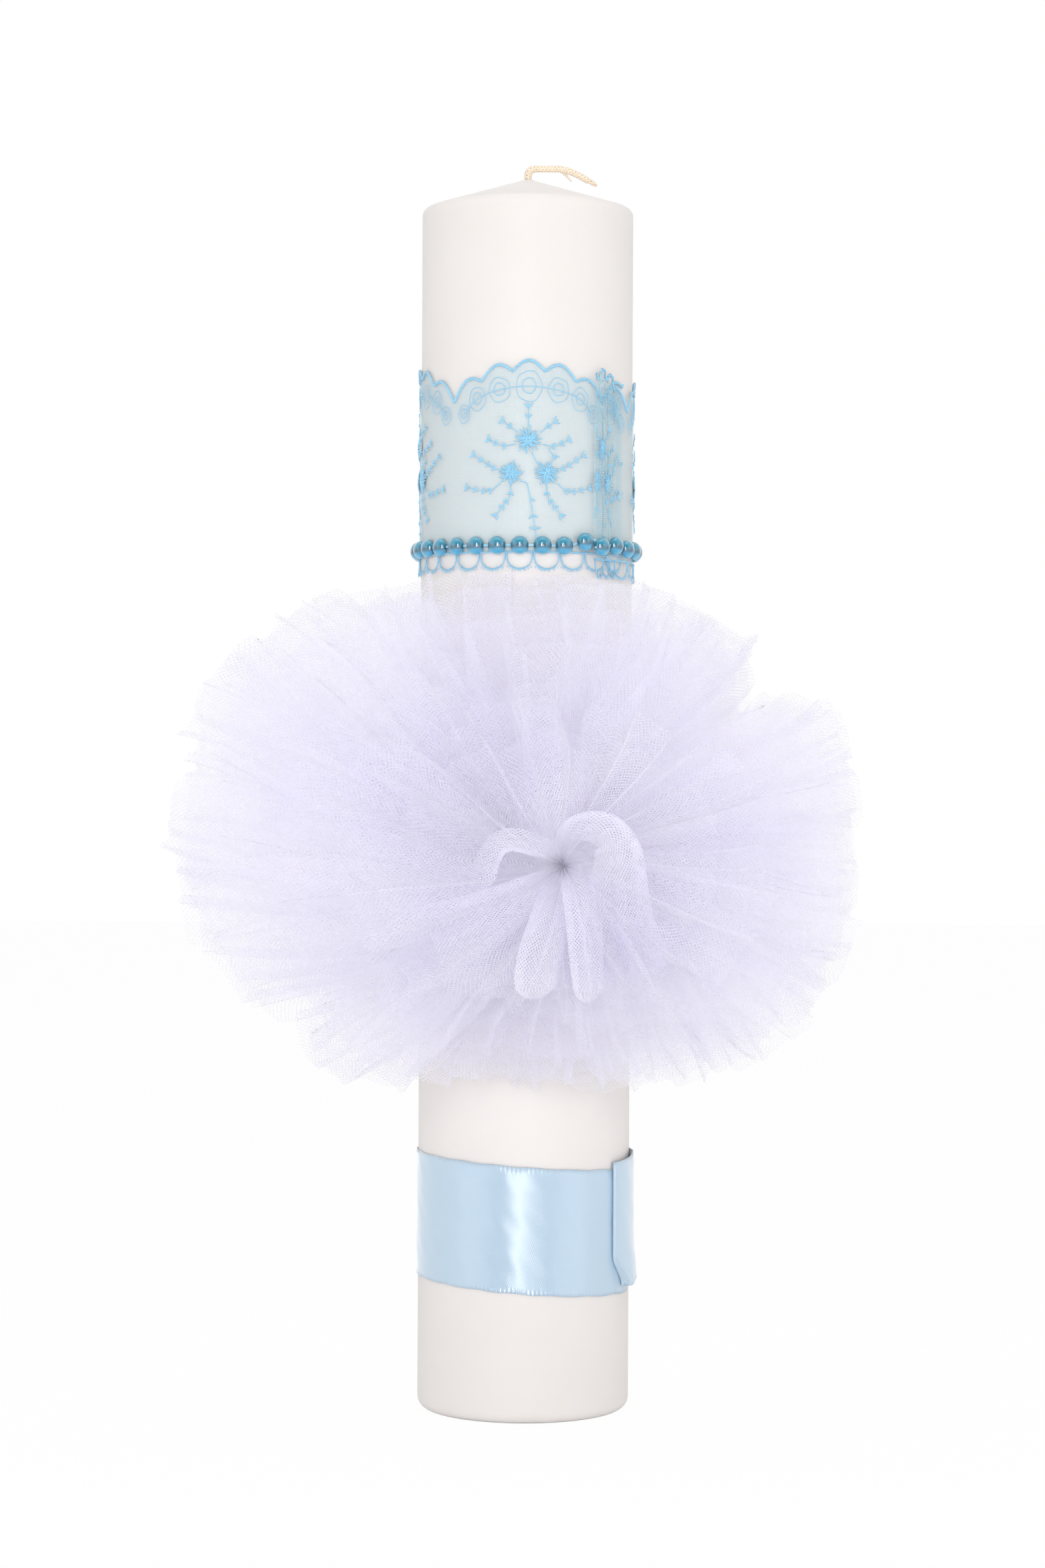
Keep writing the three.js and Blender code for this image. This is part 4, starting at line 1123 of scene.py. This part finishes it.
# Folded strips at the heart: the side that lies open (1 right of its run, -1 left, 2 both), a path of
# (x, z, depth) from the gather, and the width at even stops
CURLS = [
    # The swirl that rises over the middle and runs down at the right
    (1, [(0, 0, 10), (1, 3, 34), (3.2, 9.2, 48), (8.6, 11.6, 52), (14.6, 9.8, 54), (18.4, 2.6, 53.5),
         (18.8, -8, 52), (19.6, -20, 49), (24, -36, 39)], [2, 5, 8, 10, 11, 14, 18, 21, 25]),
    # The sheet that stands up behind the middle
    (2, [(0, 1, 10), (-1, 4, 32), (-3, 12, 46), (-4, 24, 51), (-4, 42, 43)], [3, 9, 16, 22, 28]),
    # The loop at the left
    (1, [(0, 0, 10), (-1, 1.6, 36), (-5, 4.3, 48), (-10, 6.1, 52), (-15.5, 7.4, 54), (-19.8, 6, 54.5),
         (-22.6, 1.5, 53), (-26, -4.5, 50.5), (-44, -8.5, 38)], [2, 2.5, 3.5, 5, 6, 6.5, 7.5, 10, 18]),
    # The long fold to the lower left
    (-1, [(0, -1, 10), (-2, -2.4, 36), (-8, -6.6, 48.5), (-18, -12.2, 51.5), (-31, -19, 49),
          (-45, -26, 38)], [2, 4, 7, 13, 19, 25]),
    # Two round-ended folds that hang from the middle
    (-1, [(0, -1, 10), (-1, -3, 38), (-3, -11.5, 50), (-6.2, -22, 53), (-8.8, -33, 53),
          (-9, -41, 51.5)], [2, 4, 7, 10.5, 12, 11]),
    (-1, [(1, -0.5, 10), (2.4, -0.6, 38), (4.6, -7, 52), (6, -19, 54.5), (7, -31, 53), (8, -42, 50)],
     [3, 6, 9, 10, 9.5, 8]),
]
CURL_BOW = math.radians(150)
CURL_COLUMNS = 28
# A curl's end is folded round from here on, and its width closes over this share of its length
CURL_END = 0.93
CURL_CLOSING = 0.075
ROUND_ENDED_CURLS = (5, 6)


def curl_section(open_side, generator):
    """A curl's section for a half width of 1: places to the side and lifts."""
    turn = np.linspace(-1, 1, CURL_COLUMNS + 1)
    wrinkle = generator.uniform(-1, 1, 2)
    if open_side == 2:
        side, lift = 1.2 * turn, 0.25 - 0.9 * turn**2
    else:
        # One side is rolled under, the other lies open and dips between the plies
        rolled = turn < 0
        side = open_side * np.where(rolled, np.sin(CURL_BOW * turn), 1.3 * turn)
        lift = 0.22 * np.where(rolled, np.cos(CURL_BOW * turn), 1) - 0.8 * turn**2 * ~rolled
    waves = np.sin(8 * turn + 3 * wrinkle[0]) + np.sin(13 * turn + 3 * wrinkle[1])
    return side, lift + 0.07 * waves


def build_curl(number, open_side, stations, widths, material, settings):
    """A strip of net folded double: it leaves the neck, turns over at the front and lies outwards."""
    line = smooth_path([(x, -depth, z) for x, z, depth in stations], 0.8)
    stops = np.linspace(0, 1, len(line))
    width = np.interp(stops, np.linspace(0, 1, len(widths)), widths)
    past_end = np.maximum(stops - CURL_END, 0) / CURL_CLOSING
    half = width * np.sqrt(np.clip(1 - past_end**2, 0.02, 1)) / 2
    tangents = unit(np.gradient(line, axis=0))
    outward = unit(line[-1] * np.array([1, 0, 1]))
    facing = np.array([0.0, -1.0, 0.0]) + 0.25 * outward
    side = unit(np.cross(tangents, lerp(outward, facing, smoothstep(stops, 0.1, 0.4)[:, None])))
    normal = np.cross(side, tangents)
    section = as_points(*curl_section(open_side, np.random.default_rng(20 + number)))
    aside, lift = (half[:, None, None] * section).transpose(2, 0, 1)[..., None]
    points = line[:, None] + aside * side[:, None] + lift * normal[:, None]
    arc_lengths = travelled(section)
    across = arc_lengths * half[:, None]
    down = travelled(line)
    places = as_points(across, down[:, None]).reshape(-1, 2)
    faces = grid_faces(len(line) - 1, CURL_COLUMNS)
    shape = Shape().add(points.reshape(-1, 3) + POMPOM_ORIGIN, faces, places)
    piece = make_piece(f"tulle_curl_{number}", shape, material, [f"tulle_petal_{number}"])
    still_pressed = 0.75 if number in ROUND_ENDED_CURLS else 0.6
    pressed = lerp(1.0, still_pressed, smoothstep(stops, 0.4, 1))
    press_net(piece, np.repeat(pressed, CURL_COLUMNS + 1), settings)


def build_gather(settings):
    """Cotton thread wound round the neck of the pompom, and the glue pad behind it."""
    low, high = node_box("gather_thread")
    thickness = high[1] - low[1]
    radius = (high[0] - low[0]) / 2 - thickness / 2
    share = np.linspace(0, 1, 48 * GATHER_TURNS + 1)
    angle = TURN * GATHER_TURNS * share
    back = (low[1] + high[1]) / 2 + lerp(-GATHER_HALF_LENGTH, GATHER_HALF_LENGTH, share)
    line = as_points(POMPOM_X + radius * np.cos(angle), back, POMPOM_Z + radius * np.sin(angle))
    shape = add_tube(Shape(), line, thickness * GATHER_THREAD_SHARE, 7)
    thread = twisted_thread(
        "cotton_gather_thread", settings.gather_colour, settings.gather_painted_groove_shade, 0.6, 0.8
    )
    make_piece("gather_winding", shape, thread, ["gather_thread"])
    finish_node("pompom_glue_pad", bpy.data.materials["hot_melt_glue"])


# Satin ribbon


def ribbon_middle(angle):
    """Height of the ribbon's middle: a little tilted, higher at the back and falling at its end."""
    tilt = RIBBON_TILT * CANDLE_RADIUS * np.sin(np.radians(angle))
    rise = RIBBON_BACK_RISE * smoothstep(-angle, RIBBON_RISE_FROM, RIBBON_RISE_TO)
    fall = RIBBON_END_FALL * smoothstep(-angle, RIBBON_RISE_TO, -RIBBON_FOLD_ANGLE)
    return RIBBON_MIDDLE_HEIGHT + tilt + rise - fall


def ribbon_place(travel):
    """Radius and angle at a travel: 0 to 1 is the wrap, 1 to 2 the fold and 2 to 3 the hem."""
    if travel <= 1:
        angle = lerp(RIBBON_INNER_END_ANGLE, RIBBON_FOLD_ANGLE, travel)
        climbed = smoothstep(-angle, -RIBBON_CLIMB_END - RIBBON_CLIMB_ANGLE, -RIBBON_CLIMB_END)
        return lerp(RIBBON_INNER_RADIUS, RIBBON_OUTER_RADIUS, climbed), angle
    fold_radius = (RIBBON_OUTER_RADIUS - RIBBON_HEM_RADIUS) / 2
    turn = math.pi * min(travel - 1, 1)
    radius = (RIBBON_OUTER_RADIUS + RIBBON_HEM_RADIUS) / 2 + fold_radius * math.cos(turn)
    past = math.degrees(fold_radius * math.sin(turn) / radius)
    hem = math.degrees(RIBBON_HEM / RIBBON_HEM_RADIUS) * max(travel - 2, 0)
    return radius, RIBBON_FOLD_ANGLE - past + hem


def ribbon_column(travel, above):
    """Points across the ribbon at a travel, at heights above its middle."""
    radius, angle = ribbon_place(travel)
    low_corner = 1 - smoothstep(above + RIBBON_WIDTH / 2, 0, RIBBON_CORNER_HEIGHT)
    turn_out = math.degrees(RIBBON_CORNER_TURN / RIBBON_OUTER_RADIUS) * low_corner
    # The selvedges are drawn in a little, so both edges ripple
    edge = np.abs(above / (RIBBON_WIDTH / 2)) ** 6
    ripple = -0.2 * edge + 0.06 * edge * (1 + np.sin(angle * 0.55 + above) + 0.6 * np.sin(angle * 1.3))
    ripple += 0.07 * (1 + np.sin(0.4 * angle + 0.55 * above) * np.sin(0.23 * above + 1.0))
    # The turned corner of the outer end stands off the wax
    lifted = 1 - smoothstep(above + RIBBON_WIDTH / 2, 0, 16)
    ripple += RIBBON_CORNER_LIFT * smoothstep(-angle, 255, 296) * lifted
    if travel <= 1:
        near_end = smoothstep(-angle, -RIBBON_CLIMB_END, -RIBBON_FOLD_ANGLE)
        column = wrap_points(radius + ripple, angle + turn_out * near_end, ribbon_middle(angle))
    else:
        column = wrap_points(radius, angle + turn_out, ribbon_middle(RIBBON_FOLD_ANGLE))
    column[:, 2] += above + 0.12 * np.sin(angle * 0.31) * np.sign(above)
    return column


def thickened(points, places, thickness):
    """A closed shape from a grid of points, half its thickness on either side."""
    columns, rows = points.shape[0] - 1, points.shape[1] - 1
    normal = unit(np.cross(np.gradient(points, axis=0), np.gradient(points, axis=1)))
    outer = (points + thickness / 2 * normal).reshape(-1, 3)
    inner = (points - thickness / 2 * normal).reshape(-1, 3)
    count, stride = len(outer), rows + 1
    faces = grid_faces(columns, rows)
    last = columns * stride
    rim = [*range(rows), *range(rows, last + rows, stride)]
    rim += [*range(last + rows, last, -1), *range(last, 0, -stride)]
    walls = [[a, b, b + count, a + count] for a, b in zip(rim, rim[1:] + rim[:1])]
    back = [[corner + count for corner in reversed(face)] for face in faces]
    return Shape().add(np.vstack([outer, inner]), faces + back + walls, np.vstack([places, places]))


def build_ribbon(settings):
    wrap, fold, hem = np.linspace(0, 1, 261), np.linspace(1, 2, 9), np.linspace(2, 3, 13)
    above = np.linspace(-RIBBON_WIDTH / 2, RIBBON_WIDTH / 2, RIBBON_ROWS + 1)
    points = np.array([ribbon_column(travel, above) for travel in np.r_[wrap, fold[1:], hem[1:]]])
    steps = np.linalg.norm(np.diff(points, axis=0), axis=2).mean(1)
    lengths = np.r_[0, np.cumsum(steps)]
    places = as_points(lengths[:, None], above).reshape(-1, 2)
    material = woven_satin(settings.ribbon_colour, settings.ribbon_painted_weave_shade)
    shape = thickened(points, places, RIBBON_THICKNESS)
    piece = make_piece("ribbon_wrap", shape, material, ["satin_ribbon"])
    finish_node("ribbon_glue_line", bpy.data.materials["hot_melt_glue"])


# Stage


def build_world(settings):
    """The studio's walls: white behind the candle and at its sides, and dim behind the camera."""
    world = bpy.data.worlds.new("studio")
    bpy.context.scene.world = world
    world.use_nodes = True
    tree = world.node_tree
    tree.nodes.clear()
    rays = add_node(tree, "LightPath").node.outputs
    place = add_node(tree, "TexCoord", output="Generated")
    wall = add_node(tree, "MapRange", {
        "Value": add_node(tree, "SeparateXYZ", {0: place}, 1),
        "From Min": -0.85,
        "From Max": -0.1,
        "To Min": settings.dim_side,
        "To Max": add_node(
            tree, "Math", {0: rays["Is Glossy Ray"], 1: settings.ambient}, operation="MAXIMUM"
        ),
    }, interpolation_type="SMOOTHSTEP")
    straight = {0: rays["Is Camera Ray"], 1: rays["Is Transmission Ray"]}
    seen = add_node(tree, "Math", straight, operation="MAXIMUM")
    strength = add_node(tree, "Mix", {0: seen, 2: wall, 3: 1.0})
    light = add_node(tree, "Background", {"Color": linear("FFFFFF"), "Strength": strength})
    add_node(tree, "OutputWorld", {"Surface": light})


def build_floor(settings):
    """A pale floor that is lit up where the camera sees it, so that it runs into the walls."""
    material, tree = new_material("pale_studio_floor")
    seen = add_node(tree, "LightPath", output="Is Camera Ray")
    paint = add_node(tree, "BsdfDiffuse", {"Color": settings.floor_colour})
    glow = add_node(tree, "Emission", {"Color": linear("FFFFFF"), "Strength": 1.0})
    lit = add_node(tree, "MixShader", {0: 0.95, 1: paint, 2: glow})
    shown = add_node(tree, "MixShader", {0: seen, 1: paint, 2: lit})
    add_node(tree, "OutputMaterial", {"Surface": shown})
    mesh = bpy.data.meshes.new("studio_floor")
    half = FLOOR_HALF_WIDTH
    corners = [(-half, -half, 0), (half, -half, 0), (half, half, 0), (-half, half, 0)]
    mesh.from_pydata(corners, [], [[0, 1, 2, 3]])
    mesh.materials.append(material)
    floor = bpy.data.objects.new("studio_floor", mesh)
    bpy.context.scene.collection.objects.link(floor)


def build_lamps(settings):
    for name, outline, place, (width, height), power, share in LAMPS:
        lamp = bpy.data.lights.new(name, "AREA")
        lamp.shape = outline
        lamp.size = width
        lamp.size_y = height
        lamp.energy = getattr(settings, power) * share
        light = bpy.data.objects.new(name, lamp)
        light.location = place
        light.rotation_euler = (LAMP_TARGET - light.location).to_track_quat("-Z", "Y").to_euler()
        bpy.context.scene.collection.objects.link(light)


def build_camera():
    view = bpy.data.cameras.new("camera")
    view.sensor_fit = "VERTICAL"
    view.sensor_height = SENSOR_HEIGHT
    view.lens = CAMERA_LENS
    camera = bpy.data.objects.new("camera", view)
    camera.location = Vector((CAMERA_SIDE_STEP, -CAMERA_DISTANCE, CAMERA_HEIGHT)) * MM
    camera.rotation_euler = (math.pi / 2, math.radians(CAMERA_ROLL), 0)
    bpy.context.scene.collection.objects.link(camera)
    bpy.context.scene.camera = camera


def build_stage(settings):
    scene = bpy.context.scene
    scene.view_settings.view_transform = "Standard"
    # Light passes many layers of net before it reaches the wax
    scene.cycles.transparent_max_bounces = 96
    build_world(settings)
    build_floor(settings)
    build_lamps(settings)
    build_camera()


# Add-on


def colour_property(name, hex_colour, description):
    return bpy.props.FloatVectorProperty(
        name=name, description=description, subtype="COLOR", size=4, min=0, max=1,
        default=linear(hex_colour),
    )


def share_property(name, default, description, low, high):
    return bpy.props.FloatProperty(
        name=name, description=description, default=default, min=low, max=high, subtype="FACTOR"
    )


def power_property(name, default, description):
    return bpy.props.FloatProperty(
        name=name, description=description, default=default, min=0, unit="POWER"
    )


class CandleFinish(bpy.types.PropertyGroup):
    """Colours and net widths that a user would change."""

    wax_colour: colour_property("Wax", "E6E2DF", "Colour of the wax")
    wax_shade: colour_property("Wax shade", "E1DCD9", "Second tone of the wax's mottling")
    wick_colour: colour_property("Wick", "FFF0DC", "Colour of the cotton wick")
    # Painted shade in the grooves between the wick's plies
    wick_painted_groove_shade: colour_property("Wick shade", "F6E2C8", "Colour between the wick's plies")
    net_colour: colour_property("Lace net", "BDDDE8", "Colour of the lace's net ground")
    embroidery_colour: colour_property("Embroidery", "B2E6FF", "Colour of the embroidery thread")
    # Painted shade in the grooves between the embroidery thread's plies
    embroidery_painted_groove_shade: colour_property("Embroidery shade", "7CC8EE", "Colour between its plies")
    # The three pearl colours carry a painted reflection: a dark band at the middle and the floor's light
    # below it
    pearl_above_with_painted_reflection: colour_property("Pearl above", "108FAE", "Pearl lacquer above the middle")
    pearl_painted_dark_band: colour_property("Pearl middle", "035A76", "Pearl lacquer at its deepest")
    pearl_below_with_painted_floor_reflection: colour_property("Pearl below", "34A4CC", "Pearl lacquer below the middle")
    link_colour: colour_property("Link thread", "A8D4E6", "Colour of the pearls' link thread")
    # Painted shade in the grooves between the link thread's plies
    link_painted_groove_shade: colour_property("Link thread shade", "7FBAD6", "Colour between its plies")
    tulle_colour: colour_property("Tulle", "FBFAFE", "Colour of the tulle")
    tulle_shade: colour_property("Tulle shade", "F2F0FB", "Second tone of the tulle")
    thread_share: share_property(
        "Open thread share", 0.085, "Width of the tulle's threads at its edge, as part of a mesh", 0.02, 0.5
    )
    pressed_share: share_property(
        "Pressed thread share", 0.22, "Width of the threads at the gather, as part of a mesh", 0.02, 0.5
    )
    gather_colour: colour_property("Gather thread", "F4F0E8", "Colour of the cotton round the neck")
    # Painted shade in the grooves between the gather thread's plies
    gather_painted_groove_shade: colour_property("Gather thread shade", "D8D0C0", "Colour between its plies")
    ribbon_colour: colour_property("Ribbon", "B5CFE2", "Colour of the satin ribbon")
    # Painted shade between the satin's floats
    ribbon_painted_weave_shade: colour_property("Ribbon shade", "A2BFD6", "Colour between the satin's floats")
    glue_colour: colour_property("Glue", "F2F0EA", "Colour of the hot-melt glue")


class CandleStage(bpy.types.PropertyGroup):
    """Light and floor of the stage."""

    ambient: share_property("Ambient", 0.8, "Strength of the light from the sides and behind", 0, 2)
    dim_side: share_property("Dim side", 0.3, "Strength of the light from behind the camera", 0, 2)
    softbox_power: power_property("Softboxes", 3.7, "Power of the left softbox, which the others follow")
    round_lamp_power: power_property("Round lamp", 1.8, "Power of the round lamp above the camera")
    strip_lamp_power: power_property("Strip lamp", 3.4, "Power of the strip that draws the satin's streak")
    cone_lamp_power: power_property("Cone lamp", 0.08, "Power of the small lamp over the wax cone")
    floor_colour: colour_property("Floor", "FFFFFF", "Colour of the floor")


class BuildOperator:
    """What every operator of the add-on shares."""

    bl_options = {"REGISTER", "UNDO"}


class CANDLE_OT_stage(BuildOperator, bpy.types.Operator):
    """Builds the walls, the floor, the lamps and the camera"""

    bl_idname = "candle.stage"
    bl_label = "Stage"

    def execute(self, context):
        build_stage(context.scene.candle_stage)
        return {"FINISHED"}


class CANDLE_OT_glue(BuildOperator, bpy.types.Operator):
    """Makes the hot-melt glue that the other steps use"""

    bl_idname = "candle.glue"
    bl_label = "Glue"

    def execute(self, context):
        melted_glue(context.scene.candle_finish.glue_colour)
        return {"FINISHED"}


class CANDLE_OT_wax(BuildOperator, bpy.types.Operator):
    """Builds the wax pillar"""

    bl_idname = "candle.wax"
    bl_label = "Wax pillar"

    def execute(self, context):
        build_wax(context.scene.candle_finish)
        return {"FINISHED"}


class CANDLE_OT_wick(BuildOperator, bpy.types.Operator):
    """Builds the braided wick"""

    bl_idname = "candle.wick"
    bl_label = "Wick"

    def execute(self, context):
        build_wick(context.scene.candle_finish)
        return {"FINISHED"}


class CANDLE_OT_lace(BuildOperator, bpy.types.Operator):
    """Builds the net, embroidery and edge cords of the lace band"""

    bl_idname = "candle.lace"
    bl_label = "Lace band"

    def execute(self, context):
        build_lace(context.scene.candle_finish)
        return {"FINISHED"}


class CANDLE_OT_pearls(BuildOperator, bpy.types.Operator):
    """Builds the half-round pearls on their link thread"""

    bl_idname = "candle.pearls"
    bl_label = "Pearl strand"

    def execute(self, context):
        build_pearls(context.scene.candle_finish)
        return {"FINISHED"}


class CANDLE_OT_tulle(BuildOperator, bpy.types.Operator):
    """Builds the gathered plies and curls of the tulle pompom"""

    bl_idname = "candle.tulle"
    bl_label = "Tulle pompom"

    def execute(self, context):
        build_tulle(context.scene.candle_finish)
        return {"FINISHED"}


class CANDLE_OT_ribbon(BuildOperator, bpy.types.Operator):
    """Builds the satin ribbon"""

    bl_idname = "candle.ribbon"
    bl_label = "Satin ribbon"

    def execute(self, context):
        build_ribbon(context.scene.candle_finish)
        return {"FINISHED"}


# In the order that they run in
OPERATORS = (
    CANDLE_OT_stage,
    CANDLE_OT_glue,
    CANDLE_OT_wax,
    CANDLE_OT_wick,
    CANDLE_OT_lace,
    CANDLE_OT_pearls,
    CANDLE_OT_tulle,
    CANDLE_OT_ribbon,
)


class CANDLE_PT_panel(bpy.types.Panel):
    """Lists the steps and settings of the candle"""

    bl_idname = "CANDLE_PT_panel"
    bl_label = "Baptism candle"
    bl_space_type = "VIEW_3D"
    bl_region_type = "UI"
    bl_category = "Candle"

    def draw(self, context):
        for operator in OPERATORS:
            self.layout.operator(operator.bl_idname)
        for group in (context.scene.candle_finish, context.scene.candle_stage):
            for name in group.bl_rna.properties.keys():
                if name not in ("rna_type", "name"):
                    self.layout.prop(group, name)


CLASSES = (CandleFinish, CandleStage, *OPERATORS, CANDLE_PT_panel)


def register():
    for cls in CLASSES:
        bpy.utils.register_class(cls)
    bpy.types.Scene.candle_finish = bpy.props.PointerProperty(type=CandleFinish)
    bpy.types.Scene.candle_stage = bpy.props.PointerProperty(type=CandleStage)


def unregister():
    del bpy.types.Scene.candle_stage
    del bpy.types.Scene.candle_finish
    for cls in reversed(CLASSES):
        bpy.utils.unregister_class(cls)


def main():
    register()
    for step in ("stage", "glue", "wax", "wick", "lace", "pearls", "tulle", "ribbon"):
        getattr(bpy.ops.candle, step)()


if __name__ == "__main__":
    main()
